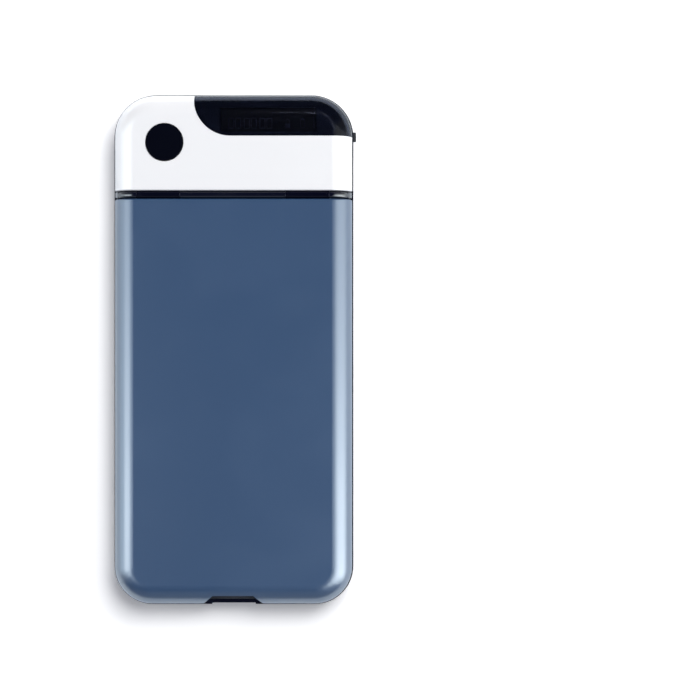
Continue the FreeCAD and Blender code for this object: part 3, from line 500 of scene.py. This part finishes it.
# %% Plastic recipe
def moulded(name, colour, roughness, grain_scale=4000.0, grain_depth=0.02 * MM, shift=0.04, smudge=0.06,
            hairline=0.08, rub=1.15, specular=0.5, ior=1.5, tint=(1, 1, 1, 1)):
    """A moulded plastic with its grain, handling marks and rubbed edges."""
    material, tree = start_material(name)
    grain = place_group(tree, moulded_grain, Grain_Scale=grain_scale)
    marks = place_group(tree, handling)
    edges = place_group(tree, rubbed_edges)
    body = tinted(tree, grain["Clouds"], scaled(colour, 1 - shift), scaled(colour, 1 + shift))
    body = tinted(tree, edges["Mask"], body, scaled(colour, rub))
    dull = spread(tree, marks["Smudge"], 0, 1, roughness, roughness + smudge)
    dull = calc(tree, "ADD", dull, calc(tree, "MULTIPLY", marks["Hairlines"], hairline))
    bump = add(tree, "Bump", Height=grain["Height"], Distance=grain_depth)
    finish_material(tree, Base_Color=body, Roughness=dull, Normal=bump.outputs["Normal"],
                    Specular_IOR_Level=specular, IOR=ior, Specular_Tint=tint)
    return material


print("plastic recipe:", moulded.__doc__)

# %% Plastics outside
finishes = {
    "lid_blue": moulded("satin_blue_lid", paint(42, 70, 103), 0.28, grain_depth=0.006 * MM, shift=0.012,
                        smudge=0.02, hairline=0.0, specular=1.0, ior=1.8, tint=(0.93, 0.98, 1.0, 1)),
    "head_white": moulded("white_head", paint(252, 252, 251), 0.28, grain_depth=0.006 * MM, shift=0.004,
                          rub=1.0, smudge=0.02, hairline=0.0, specular=1.0, ior=1.8),
    "back_navy": moulded("gloss_navy", paint(6, 7, 19), 0.12, grain_scale=900.0, grain_depth=0.01 * MM,
                         shift=0.05, specular=1.0, ior=1.6),
    "knob_black": moulded("black_knob", paint(1, 2, 11), 0.45, grain_depth=0.01 * MM, shift=0.05,
                          rub=1.6, specular=0.05),
    "nub_black": moulded("black_nub", paint(16, 16, 20), 0.45, rub=1.8),
}
print("plastics outside:", sorted(finishes))

# %% Plastics inside
finishes |= {
    "liner_dark": moulded("navy_liner", paint(5, 6, 20), 0.14, grain_scale=900.0, grain_depth=0.01 * MM,
                          specular=0.4, ior=1.45),
    "tray_grey": moulded("grey_tray", paint(34, 36, 45), 0.5, grain_scale=1600.0, grain_depth=0.06 * MM),
    "board_green": moulded("green_board", paint(14, 70, 42), 0.35, grain_scale=1200.0),
    "black_parts": moulded("black_cases", paint(20, 20, 22), 0.55, grain_depth=0.04 * MM),
    "holder_white": moulded("white_holder", paint(216, 216, 210), 0.5),
}
print("plastics:", len(finishes))

# %% [markdown]
# ## Metals
#
# Hooks, slide bar and screws are bright zinc-plated steel, rolled and brushed along their length.
# The pinion is machined brass and the cell is wrapped in foil. A grey paint would look like plastic:
# for a metal the colour is what it reflects, so the streaks shift both colour and roughness.

# %% Metals
STREAK_TONE = 0.10            # how far streaks shift a metal's colour
STREAK_DULL = 0.10            # and its roughness
STREAK_DEPTH = 0.01 * MM


def metal(name, colour, roughness, streak_scale=5000.0):
    """A brushed metal."""
    material, tree = start_material(name)
    lines = place_group(tree, brushed, Streak_Scale=streak_scale)
    marks = place_group(tree, handling)
    tone = tinted(tree, lines["Streaks"], scaled(colour, 1 - STREAK_TONE), scaled(colour, 1 + STREAK_TONE))
    dull = spread(tree, lines["Streaks"], 0, 1, roughness - STREAK_DULL / 2, roughness + STREAK_DULL / 2)
    dull = calc(tree, "ADD", dull, calc(tree, "MULTIPLY", marks["Smudge"], STREAK_DULL))
    bump = add(tree, "Bump", Height=lines["Height"], Distance=STREAK_DEPTH)
    finish_material(tree, Base_Color=tone, Roughness=dull, Metallic=1.0, Normal=bump.outputs["Normal"])
    return material


finishes["steel"] = metal("plated_steel", paint(196, 198, 202), 0.30)
finishes["pinion_brass"] = metal("machined_brass", paint(212, 178, 106), 0.28)
finishes["battery_foil"] = metal("cell_foil", paint(178, 181, 186), 0.38, streak_scale=1500.0)
print("finishes:", len(finishes))

# %% [markdown]
# ## Felt
#
# Both pads are pressed felt, matt and slightly flecked. The fibres give the bump, the flecks give the
# colour, and a sheen gives the soft pale rim that fibres catch, which a plain rough surface lacks.

# %% Felt
FLECK_TONES = (0.72, 1.35)    # dark and pale flecks, as shares of the felt's colour
FELT_DEPTH = 0.25 * MM


def felt(name, colour):
    """Short pressed felt."""
    material, tree = start_material(name)
    fuzz = place_group(tree, fibres)
    tone = tinted(tree, fuzz["Flecks"], *(scaled(colour, share) for share in FLECK_TONES))
    bump = add(tree, "Bump", Height=fuzz["Height"], Distance=FELT_DEPTH)
    finish_material(tree, Base_Color=tone, Normal=bump.outputs["Normal"],
                    Roughness=spread(tree, fuzz["Flecks"], 0, 1, 0.85, 1.0),
                    Sheen_Weight=0.6, Sheen_Roughness=0.5, Specular_IOR_Level=0.1)
    return material


finishes["felt"] = felt("pressed_felt", paint(52, 55, 66))
print("felt:", finishes["felt"].name)

# %% [markdown]
# ## Smoked window and display
#
# The window is clear plastic with a smoky tint, and its edge is printed black from behind, so that
# the white ledge under it doesn't show. The print could be a second thin sheet, but a mask by place
# keeps the window one piece, and leaves a clearer field over the display. The display is switched off,
# and its segments are only just paler than the cell.

# %% Smoked window
DISPLAY_LOW, DISPLAY_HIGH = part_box("display_module")
FIELD_SOFTNESS = 0.3 * MM
WINDOW_PRINT = (0.036, 0.041, 0.062, 1)
WINDOW_TINT = (0.145, 0.155, 0.21, 1)


def field_mask(tree, low, high):
    """1 inside a box in plan, 0 outside it, with a soft edge."""
    place = add(tree, "SeparateXYZ", Vector=own_space(tree)).outputs
    mask = 1.0
    for axis, a, b in (("X", low.x, high.x), ("Y", low.y, high.y)):
        rise = spread(tree, place[axis], a, a + FIELD_SOFTNESS)
        fall = spread(tree, place[axis], b, b - FIELD_SOFTNESS)
        mask = calc(tree, "MULTIPLY", mask, calc(tree, "MULTIPLY", rise, fall))
    return mask


def smoked(name, print_colour, tint):
    """Tinted clear plastic, printed black around the display's field."""
    material, tree = start_material(name)
    marks = place_group(tree, handling)
    tone = tinted(tree, field_mask(tree, DISPLAY_LOW, DISPLAY_HIGH), print_colour, tint)
    finish_material(tree, Base_Color=tone, Metallic=0.0, Transmission_Weight=1.0, IOR=1.25,
                    Roughness=spread(tree, marks["Smudge"], 0, 1, 0.02, 0.05))
    return material


finishes["smoked_window"] = smoked("smoked_window", WINDOW_PRINT, WINDOW_TINT)
finishes["display_glass"] = moulded("display_cell", paint(16, 17, 22), 0.15, grain_depth=0.0)
print("window field in mm:", [round(v / MM, 1) for v in (*DISPLAY_LOW.xy, *DISPLAY_HIGH.xy)])

# %% [markdown]
# ## Finishes on the CAD pieces
#
# The record names a material slot for each node. A dressed copy could stand for each piece, but the
# CAD's meshes are already smooth where the real pieces are. So each node keeps its own mesh, and only
# takes the finish of its slot.

# %% Assign the finishes
slot_of = {row["node"]: row["material_slot"] for row in frame["record"]["subparts"]}
for name, piece in frame["nodes"].items():
    piece.data.materials.clear()
    piece.data.materials.append(finishes[slot_of[name]])
print("dressed", len(slot_of), "nodes in", len(set(slot_of.values())), "finishes")

# %% [markdown]
# ## Meshes from rings
#
# The small pieces are stacks of rings. A ring is a closed loop of points, each is joined to the next
# by a band of faces, and the first and last can be capped. Modifiers on plain blocks could round them
# too, but rings put every point where it is wanted. A pad's rings shrink inwards from its edge, and a
# screw's rings follow the profile that a lathe would cut.

# %% Rounded rings
LEAST_CORNER = 0.1 * MM


def rounded_ring(half_x, half_y, corner, inset, height, corner_steps=8, side_steps=1):
    """A rounded rectangle about the middle, shrunk by an inset, as a loop of points at a height."""
    radius = max(corner - inset, LEAST_CORNER)
    arcs = []
    for quarter, (x, y) in enumerate(((1, 1), (-1, 1), (-1, -1), (1, -1))):
        middle = Vector((x * (half_x - inset - radius), y * (half_y - inset - radius)))
        angles = [(quarter + step / corner_steps) * math.pi / 2 for step in range(corner_steps + 1)]
        arcs.append([middle + radius * Vector((math.cos(angle), math.sin(angle))) for angle in angles])
    ring = []
    for arc, following in zip(arcs, arcs[1:] + arcs[:1]):
        ring += arc[:-1] + [arc[-1].lerp(following[0], step / side_steps) for step in range(side_steps)]
    return [Vector((point.x, point.y, height(inset, point))) for point in ring]


def flat_at(level):
    """A height that is the same all along a ring."""
    return lambda inset, point: level


def rounded_stack(half_x, half_y, corner, profile, corner_steps=8):
    """Flat rounded rings with the insets and levels of a profile."""
    return [rounded_ring(half_x, half_y, corner, inset, flat_at(level), corner_steps)
            for inset, level in profile]


print("ring of", len(rounded_ring(10 * MM, 20 * MM, 3 * MM, 0, flat_at(0))), "points")

# %% From rings to a piece
def loft(bm, rings, first_cap=True, last_cap=True):
    """Adds a stack of rings to a mesh, and returns the vertices of each ring."""
    rows = [[bm.verts.new(point) for point in ring] for ring in rings]
    for low, high in zip(rows, rows[1:]):
        for here in range(len(low)):
            there = (here + 1) % len(low)
            bm.faces.new((low[here], low[there], high[there], high[here]))
    if first_cap:
        bm.faces.new(rows[0][::-1])
    if last_cap:
        bm.faces.new(rows[-1])
    return rows


def new_piece(name, bm, body, slot, replaced=(), smooth=40, place=Matrix.Identity(4)):
    """Puts a mesh in its place and turns it into a piece with its finish, riding on a body."""
    bmesh.ops.transform(bm, verts=bm.verts, matrix=place)
    bmesh.ops.recalc_face_normals(bm, faces=bm.faces)
    mesh = bpy.data.meshes.new(name)
    bm.to_mesh(mesh)
    bm.free()
    mesh.shade_smooth()
    mesh.set_sharp_from_angle(angle=math.radians(smooth))
    mesh.materials.append(finishes[slot])
    piece = bpy.data.objects.new(name, mesh)
    bpy.context.scene.collection.objects.link(piece)
    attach(piece, body)
    if replaced:
        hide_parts(*replaced)
    return piece


print("piece helpers:", [helper.__name__ for helper in (loft, new_piece)])

# %% [markdown]
# ## Rounder corners at the head
#
# The head, its window and the back shell share one outline, and the radius of its two corners at the
# head end is 3.3 mm larger than in the CAD. A bevel can't round a corner that is round already, so
# copies of those pieces stand for them here. A copy is cut into strips near the corners, and then every
# point there slides towards the middle of the rounder corner. Points near the outline slide all the
# way, and deeper ones less and less, so the walls keep their thickness and the knob and display stay
# where they are. Each point's shading turns with it.

# %% Sliding a corner in
OLD_CORNER = 14.3 * MM
HEAD_CORNER = 17.6 * MM
FULL_SLIDE_DEPTH = 4 * MM     # inwards from the outline
NO_SLIDE_DEPTH = 12 * MM

shell_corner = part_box("back_shell")[1]
corner_middle = Vector((shell_corner.x - HEAD_CORNER, shell_corner.y - HEAD_CORNER))


def slid(point):
    """Where a point goes when the two corners at the head get rounder."""
    out = Vector((abs(point.x), point.y)) - corner_middle
    if min(out) <= 0:
        return point.copy()
    aim = out.normalized()
    step = HEAD_CORNER - OLD_CORNER
    if HEAD_CORNER * min(aim) < step * max(aim):
        reach = HEAD_CORNER / max(aim)
    else:
        along = step * (aim.x + aim.y)
        reach = along + math.sqrt(along ** 2 - 2 * step ** 2 + OLD_CORNER ** 2)
    share = (NO_SLIDE_DEPTH - (reach - out.length)) / (NO_SLIDE_DEPTH - FULL_SLIDE_DEPTH)
    share = min(max(share, 0), 1)
    out -= aim * (reach - HEAD_CORNER) * share ** 2 * (3 - 2 * share)
    return Vector((math.copysign(corner_middle.x + out.x, point.x), corner_middle.y + out.y, point.z))


tip_inset = OLD_CORNER * (1 - math.sqrt(0.5))
tip = Vector((shell_corner.x - tip_inset, shell_corner.y - tip_inset, 0))
print("slide at the corner's tip in mm:", round((slid(tip) - tip).length / MM, 2))

# %% Turning the shading
PROBE = 0.01 * MM


def turned(point, normal):
    """A surface's direction at a point, after the slide there."""
    columns = [(slid(point + PROBE * side) - slid(point)) / PROBE for side in Matrix.Identity(3)]
    return (Matrix(columns).inverted() @ normal).normalized()


print("shading at the tip turns to", [round(part, 2) for part in turned(tip, Vector((0, 1, 0)))])

# %% Rounder copies
CORNER_STRIPS = 4
ON_A_CUT = 0.0001 * MM        # a point this near to a cut is on it


def corner_cuts():
    """The planes between strips at both head corners: a point on each, and the way across it."""
    cuts = []
    for count in range(CORNER_STRIPS):
        inwards = HEAD_CORNER - count * (HEAD_CORNER - OLD_CORNER) / CORNER_STRIPS
        cuts.append(((shell_corner.x - inwards, 0, 0), (1, 0, 0)))
        cuts.append(((inwards - shell_corner.x, 0, 0), (1, 0, 0)))
        cuts.append(((0, shell_corner.y - inwards, 0), (0, 1, 0)))
    return cuts


def rounder_copy(node):
    """A copy of a CAD piece with its head corners slid in."""
    source = frame["nodes"][node]
    mesh = source.data.copy()
    bm = bmesh.new()
    bm.from_mesh(mesh)
    shading = bm.loops.layers.float_vector.new("shading")
    directions = iter(source.data.corner_normals)
    for face in bm.faces:
        for loop in face.loops:
            loop[shading] = next(directions).vector
    for place, across in corner_cuts():
        bmesh.ops.bisect_plane(bm, geom=bm.verts[:] + bm.edges[:] + bm.faces[:], plane_co=place,
                               plane_no=across, dist=ON_A_CUT)
    normals = [turned(loop.vert.co, loop[shading]) for face in bm.faces for loop in face.loops]
    bm.loops.layers.float_vector.remove(shading)
    for vert in bm.verts:
        vert.co = slid(vert.co)
    bm.to_mesh(mesh)
    bm.free()
    mesh.normals_split_custom_set(normals)
    piece = bpy.data.objects.new("rounder_" + node, mesh)
    bpy.context.scene.collection.objects.link(piece)
    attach(piece, "shell")
    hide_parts(node)
    return piece


rounder = [rounder_copy(node) for node in ("head_cover", "display_window", "back_shell", "circuit_board")]
print("rounder:", [(piece.name, len(piece.data.vertices)) for piece in rounder])

# %% [markdown]
# ## Felt pads
#
# A pad lines the tray's floor and another the lid. Each is die-cut felt with a hot-pressed groove
# inside its edge. A cloth simulation would blow a sheet this thin up into a cushion, so rings give the
# pad its height. The cut edge stays soft and climbs over the first fraction of a millimetre. The field
# is slightly uneven, as felt is where it was glued down by hand.

# %% Felt pads
PAD_CORNER = 6 * MM
PAD_SOFT_EDGE = 0.35 * MM
PAD_EDGE_DROP = 0.75          # the share of the height that the cut edge lacks
PAD_GROOVE_INSET = 4.5 * MM
PAD_GROOVE_DEPTH = 0.45 * MM
PAD_GROOVE_WIDTH = 0.6 * MM
PAD_UNEVEN = 0.10 * MM
PAD_WAVE = 14 * MM
FINE_STEP = 0.25 * MM         # between rings over the edge and the groove
FINE_RINGS = 28
FIELD_STEP = 2.4 * MM         # between rings over the field
FIELD_RINGS = 13
SIDE_STEPS = 48               # along each side of a ring whose height varies


def felt_pad(name, node, body, face_up):
    """A pressed pad in the place of a CAD node, with its soft face up or down."""
    low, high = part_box(node)
    half = (high - low) / 2
    middle = (low + high) / 2
    thickness = high.z - low.z

    def height(inset, point):
        edge = 1 - PAD_EDGE_DROP * math.exp(-inset / PAD_SOFT_EDGE)
        groove = math.exp(-((inset - PAD_GROOVE_INSET) / PAD_GROOVE_WIDTH) ** 2)
        waves = 0.5 + 0.5 * noise.noise(Vector((point.x, point.y, face_up)) / PAD_WAVE)
        return (thickness - PAD_UNEVEN * waves) * edge - PAD_GROOVE_DEPTH * groove

    insets = [step * FINE_STEP for step in range(FINE_RINGS)]
    insets += [FINE_RINGS * FINE_STEP + step * FIELD_STEP for step in range(FIELD_RINGS)]
    layers = [(0, flat_at(0))] + [(inset, height) for inset in insets]
    bm = bmesh.new()
    loft(bm, [rounded_ring(half.x, half.y, PAD_CORNER, inset, shape, side_steps=SIDE_STEPS)
              for inset, shape in layers])
    back = low.z if face_up else high.z
    turn = Matrix.Rotation(0 if face_up else math.pi, 4, "Y")
    pad = new_piece(name, bm, body, "felt", (node,), smooth=60,
                    place=Matrix.Translation((middle.x, middle.y, back)) @ turn)
    return pad


pads = [felt_pad("felt_tray_pad", "tray_pad", "shell", True),
        felt_pad("felt_lid_pad", "lid_pad", "lid", False)]
print("pads:", [(pad.name, len(pad.data.vertices)) for pad in pads])

# %% [markdown]
# ## Screws
#
# Four screws in the back hold the head, and four hold the hooks in the lid. Their places could be
# typed in, but the frame has them: a node's mesh is split into its separate solids, and each solid's
# box gives a place. A screw is turned on a lathe and then struck with a cross, whose walls narrow
# towards the bottom.

# %% Separate solids of a node
def solids(node):
    """The low and high corner of each separate solid in a CAD node."""
    source = frame["nodes"][node]
    bm = bmesh.new()
    bm.from_mesh(source.data)
    bm.transform(source.matrix_world)
    bmesh.ops.remove_doubles(bm, verts=bm.verts, dist=0.001 * MM)
    boxes = []
    for start in bm.verts:
        if start.tag:
            continue
        start.tag = True
        group = [start]
        for vert in group:
            for edge in vert.link_edges:
                other = edge.other_vert(vert)
                if not other.tag:
                    other.tag = True
                    group.append(other)
        columns = list(zip(*(vert.co for vert in group)))
        boxes.append((Vector(map(min, columns)), Vector(map(max, columns))))
    bm.free()
    return boxes


print("screws of the head and the hooks:", [len(solids(node)) for node in ("head_screws", "hook_screws")])

# %% One screw
HEAD_EDGE = 0.2               # shares of the head's radius: its bevelled edge,
CROSS_REACH = (0.6, 0.4)      # the cross's reach at its mouth and at its bottom,
CROSS_ARM = (0.13, 0.09)      # and half the width of its arms there
CROSS_DEPTH = 0.6             # a share of the head's height
TIP_TAPER = 0.5               # a share of the shank's radius


def disc_ring(radius, height, count=40):
    """A circle of points at a height."""
    angles = [2 * math.pi * step / count for step in range(count)]
    return [Vector((radius * math.cos(angle), radius * math.sin(angle), height)) for angle in angles]


def cross_loop(reach, arm, height):
    """The outline of a cross, as a loop of points at a height."""
    end = [Vector(point) for point in ((reach, -arm, height), (reach, arm, height), (arm, arm, height))]
    turns = [Matrix.Rotation(quarter * math.pi / 2, 3, "Z") for quarter in range(4)]
    return [turn @ point for turn in turns for point in end]


def add_screw(bm, head_radius, head_height, shank_radius, length, place):
    """A cross-head screw, with its head's face at the origin and its shank along +Z, moved into place."""
    before = set(bm.verts)
    edge = HEAD_EDGE * head_radius
    tip = TIP_TAPER * shank_radius
    profile = ((tip, length), (shank_radius, length - tip), (shank_radius, head_height),
               (head_radius, head_height), (head_radius, edge), (head_radius - edge, 0))
    rim = loft(bm, [disc_ring(radius, height) for radius, height in profile], last_cap=False)[-1]
    cross = [cross_loop(reach * head_radius, arm * head_radius, level)
             for reach, arm, level in zip(CROSS_REACH, CROSS_ARM, (0, CROSS_DEPTH * head_height))]
    mouth = loft(bm, cross, first_cap=False)[0]
    face_edges = [bm.edges.get((loop[here - 1], loop[here]))
                  for loop in (rim, mouth) for here in range(len(loop))]
    bmesh.ops.triangle_fill(bm, use_beauty=True, edges=face_edges)
    bmesh.ops.transform(bm, verts=[vert for vert in bm.verts if vert not in before], matrix=place)


print("cross of", len(cross_loop(CROSS_REACH[0], CROSS_ARM[0], 0)), "points")

# %% Sets of screws
def screw_set(name, node, body, facing, head_share, shank_share):
    """All screws of a node. The shares are the head's height by the length, and the shank by the head."""
    bm = bmesh.new()
    for low, high in solids(node):
        middle = slid((low + high) / 2)
        turn = facing(middle)
        size = turn.inverted() @ (high - low)
        radius = abs(size.x) / 2
        length = abs(size.z)
        head_face = middle - turn @ Vector((0, 0, length / 2))
        add_screw(bm, radius, head_share * length, shank_share * radius, length,
                  Matrix.Translation(head_face) @ turn.to_4x4())
    return new_piece(name, bm, body, "steel", (node,))


def pointing_up(middle):
    """No turn: the shank goes up from the back, into the head."""
    return Matrix.Identity(3)


def pointing_out(middle):
    """The turn of a shank that goes sideways from inside the lid into its wall."""
    return Matrix.Rotation(math.copysign(math.pi / 2, middle.x), 3, "Y")


screws = [screw_set("cross_head_screws", "head_screws", "shell", pointing_up, 0.097, 0.545),
          screw_set("cross_hook_screws", "hook_screws", "lid", pointing_out, 0.2, 0.615)]
print("screws:", [(piece.name, len(piece.data.vertices)) for piece in screws])

# %% [markdown]
# ## Side switch
#
# The switch's nub is a small moulded slider with grip ridges across its travel. A bump could draw the
# ridges, but they show at the outline, so they are in the mesh: rings shrink over the nub's face, and
# a wave along its length sets their height.

# %% Switch nub
NUB_CORNER = 0.5 * MM
NUB_ROUND = 0.35 * MM
NUB_RINGS = 19
NUB_RING_STEP = 0.05 * MM
RIDGE_PITCH = 0.66 * MM
RIDGE_DEPTH = 0.16 * MM

low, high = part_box("switch_slider")
half = (high - low) / 2


def nub_height(inset, point):
    """Height of the nub's face over its base, with a rounded rim and ridges across its travel."""
    fall = max(NUB_ROUND - inset, 0)
    rim = NUB_ROUND - math.sqrt(max(NUB_ROUND ** 2 - fall ** 2, 0))
    ridge = RIDGE_DEPTH * (0.5 - 0.5 * math.cos(2 * math.pi * point.y / RIDGE_PITCH))
    inner = min(inset / NUB_ROUND, 1.0)
    return 2 * half.x - rim - ridge * inner


layers = [(0, flat_at(0))] + [(step * NUB_RING_STEP, nub_height) for step in range(NUB_RINGS)]
bm = bmesh.new()
loft(bm, [rounded_ring(half.z, half.y, NUB_CORNER, inset, shape, side_steps=SIDE_STEPS)
          for inset, shape in layers])
nub_place = Matrix.Translation((low.x, low.y + half.y, low.z + half.z)) @ Matrix.Rotation(math.pi / 2, 4, "Y")
nub = new_piece("ridged_nub", bm, "switch", "nub_black", ("switch_slider",), place=nub_place)
print("nub vertices:", len(nub.data.vertices))

# %% [markdown]
# ## Charging port
#
# The charging port is a drawn steel sleeve with a rolled lip, and inside it a black tongue carries
# the contacts. One block with a dark hole would do from afar, but the three parts have three finishes
# and catch light differently. The sleeve's rings go up its outside, over the lip and down inside.

# %% Port sleeve
SLEEVE_WALL = 0.3 * MM
PORT_LIP = 0.1 * MM           # the bevel at the mouth of the sleeve and of the tongue
PORT_FLOOR = 1.5 * MM         # above the sleeve's back end

low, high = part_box("usb_port")
half = (high - low) / 2
mouth = high.y - low.y
port_place = Matrix.Translation((low.x + half.x, low.y, low.z + half.z))
port_place @= Matrix.Rotation(-math.pi / 2, 4, "X")

bm = bmesh.new()
loft(bm, rounded_stack(half.x, half.z, half.z, (
    (0, 0), (0, mouth - PORT_LIP), (PORT_LIP, mouth), (SLEEVE_WALL - PORT_LIP, mouth),
    (SLEEVE_WALL, mouth - PORT_LIP), (SLEEVE_WALL, PORT_FLOOR))))
new_piece("port_sleeve", bm, "shell", "steel", ("usb_port",), smooth=25, place=port_place)
print("port depth in mm:", round(mouth / MM, 2))

# %% Port tongue
TONGUE_HALF_WIDTH = 3.0 * MM
TONGUE_HALF_HEIGHT = 0.35 * MM
TONGUE_CORNER = 0.15 * MM
TONGUE_BACK = 0.6 * MM        # behind the sleeve's mouth

tongue_end = mouth - TONGUE_BACK
bm = bmesh.new()
loft(bm, rounded_stack(TONGUE_HALF_WIDTH, TONGUE_HALF_HEIGHT, TONGUE_CORNER, (
    (0, PORT_FLOOR / 2), (0, tongue_end - PORT_LIP), (PORT_LIP, tongue_end))))
new_piece("port_tongue", bm, "shell", "black_parts", smooth=25, place=port_place)
print("tongue ends in mm:", round(tongue_end / MM, 2))

# %% Port contacts
CONTACT_COUNT = 12            # on each face of the tongue
CONTACT_PITCH = 0.5 * MM
CONTACT_HALF_WIDTH = 0.14 * MM
CONTACT_HALF_LENGTH = 1.8 * MM
CONTACT_CORNER = 0.1 * MM
CONTACT_THICKNESS = 0.05 * MM
CONTACT_BEVEL = 0.02 * MM
CONTACT_SUNK = 0.02 * MM      # into the tongue
CONTACT_MIDDLE = 4.6 * MM     # above the sleeve's back end

contact = rounded_stack(CONTACT_HALF_WIDTH, CONTACT_HALF_LENGTH, CONTACT_CORNER, (
    (0, 0), (0, CONTACT_THICKNESS - CONTACT_BEVEL), (CONTACT_BEVEL, CONTACT_THICKNESS)), corner_steps=3)
bm = bmesh.new()
for side in (-1, 1):
    for count in range(CONTACT_COUNT):
        across = (count - (CONTACT_COUNT - 1) / 2) * CONTACT_PITCH
        loft(bm, [[Vector((across + point.x, side * (TONGUE_HALF_HEIGHT - CONTACT_SUNK + point.z),
                           CONTACT_MIDDLE + point.y)) for point in ring] for ring in contact])
new_piece("port_contacts", bm, "shell", "pinion_brass", smooth=25, place=port_place)
print("contacts:", 2 * CONTACT_COUNT)

# %% [markdown]
# ## Display segments
#
# A liquid crystal display that is off still shows its electrodes as faint shapes. The timer's are six
# digits with colons, a padlock, a battery and an upright line. Text objects could stand for the
# digits, but real segments are strokes with pointed ends. They lie flat on the cell, and the digits
# come from one loop of six strokes that is set down again and again.

# %% Strokes
STROKE = 0.42 * MM
THIN_STROKE = 0.3 * MM
SEGMENT_THICKNESS = 0.03 * MM


def add_stroke(bm, start, end, width=STROKE):
    """A thin flat bar with pointed ends."""
    along = (end - start).normalized()
    across = Vector((-along.y, along.x)) * width / 2
    tip = along * width / 2
    loop = (start, start + tip - across, end - tip - across, end, end - tip + across, start + tip + across)
    loft(bm, [[Vector((point.x, point.y, level)) for point in loop] for level in (0, SEGMENT_THICKNESS)])


def strokes_along(bm, corner, points, width=STROKE):
    """A stroke between each point and the next."""
    for start, end in zip(points, points[1:]):
        add_stroke(bm, corner + Vector(start), corner + Vector(end), width)


print("strokes in mm:", round(STROKE / MM, 2), "and", round(THIN_STROKE / MM, 2))

# %% Digits and colons
DIGIT_COUNT = 6
DIGIT_WIDTH = 2.1 * MM
DIGIT_HEIGHT = 4.2 * MM
DIGIT_STEP = 2.9 * MM
DIGITS_LEFT = 3.3 * MM        # from the cell's left edge
DIGITS_LOW = 1.5 * MM         # from the cell's lower edge
COLON_GAP = 1.5 * MM          # between the digits at its sides
DOT_ENDS = (-0.32 * MM, 0.30 * MM)
DOT_LEVELS = (0.3, 0.7)       # shares of a digit's height

digit = [(0, 0), (0, DIGIT_HEIGHT / 2), (0, DIGIT_HEIGHT), (DIGIT_WIDTH, DIGIT_HEIGHT),
         (DIGIT_WIDTH, DIGIT_HEIGHT / 2), (DIGIT_WIDTH, 0), (0, 0)]
corner = Vector((DIGITS_LEFT, DIGITS_LOW))
display = bmesh.new()
for count in range(DIGIT_COUNT):
    strokes_along(display, corner, digit)
    corner.x += DIGIT_STEP
    if count in (1, 3):
        for level in DOT_LEVELS:
            strokes_along(display, corner, [(end, level * DIGIT_HEIGHT) for end in DOT_ENDS])
        corner.x += COLON_GAP - (DIGIT_STEP - DIGIT_WIDTH)
print("digits end at", round((corner.x - DIGIT_STEP + DIGIT_WIDTH) / MM, 1), "mm")

# %% Padlock, battery and line
PADLOCK_PLACE = (26.7 * MM, 1.7 * MM)
PADLOCK_WIDTH = 2.2 * MM
PADLOCK_ROWS = 5              # strokes that fill its body
PADLOCK_ROW_STEP = 0.4 * MM
BATTERY_PLACE = (33.1 * MM, 1.7 * MM)
BATTERY_CAP = 0.5 * MM
LINE_PLACE = 38.7 * MM
LINE_TOP = 8.0 * MM


def in_mm(*points):
    """Points given in millimetres, in metres."""
    return [(x * MM, y * MM) for x, y in points]


corner = Vector(PADLOCK_PLACE)
for row in range(PADLOCK_ROWS):
    strokes_along(display, corner, [(end, row * PADLOCK_ROW_STEP) for end in (0, PADLOCK_WIDTH)])
strokes_along(display, corner, in_mm((0.4, 2.0), (0.4, 3.4), (1.8, 3.4), (1.8, 2.0)), THIN_STROKE)
corner = Vector(BATTERY_PLACE)
strokes_along(display, corner, in_mm((0, 0), (0, 3.4), (1.8, 3.4), (1.8, 0), (0, 0)), THIN_STROKE)
strokes_along(display, corner, in_mm((0.5, 3.8), (1.3, 3.8)), BATTERY_CAP)
add_stroke(display, Vector((LINE_PLACE, DIGITS_LOW)), Vector((LINE_PLACE, LINE_TOP)), THIN_STROKE)

cell_low, cell_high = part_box("display_module")
cell_place = Matrix.Translation((cell_low.x, cell_low.y, cell_high.z))
segments = new_piece("display_segments", display, "shell", "display_glass", smooth=25, place=cell_place)
segments.data.materials.clear()
segments.data.materials.append(moulded("faint_segments", paint(60, 62, 72), 0.3, grain_depth=0.0))
print("segments end at x", round(max(vert.co.x for vert in segments.data.vertices) / MM, 1), "mm")

# %% [markdown]
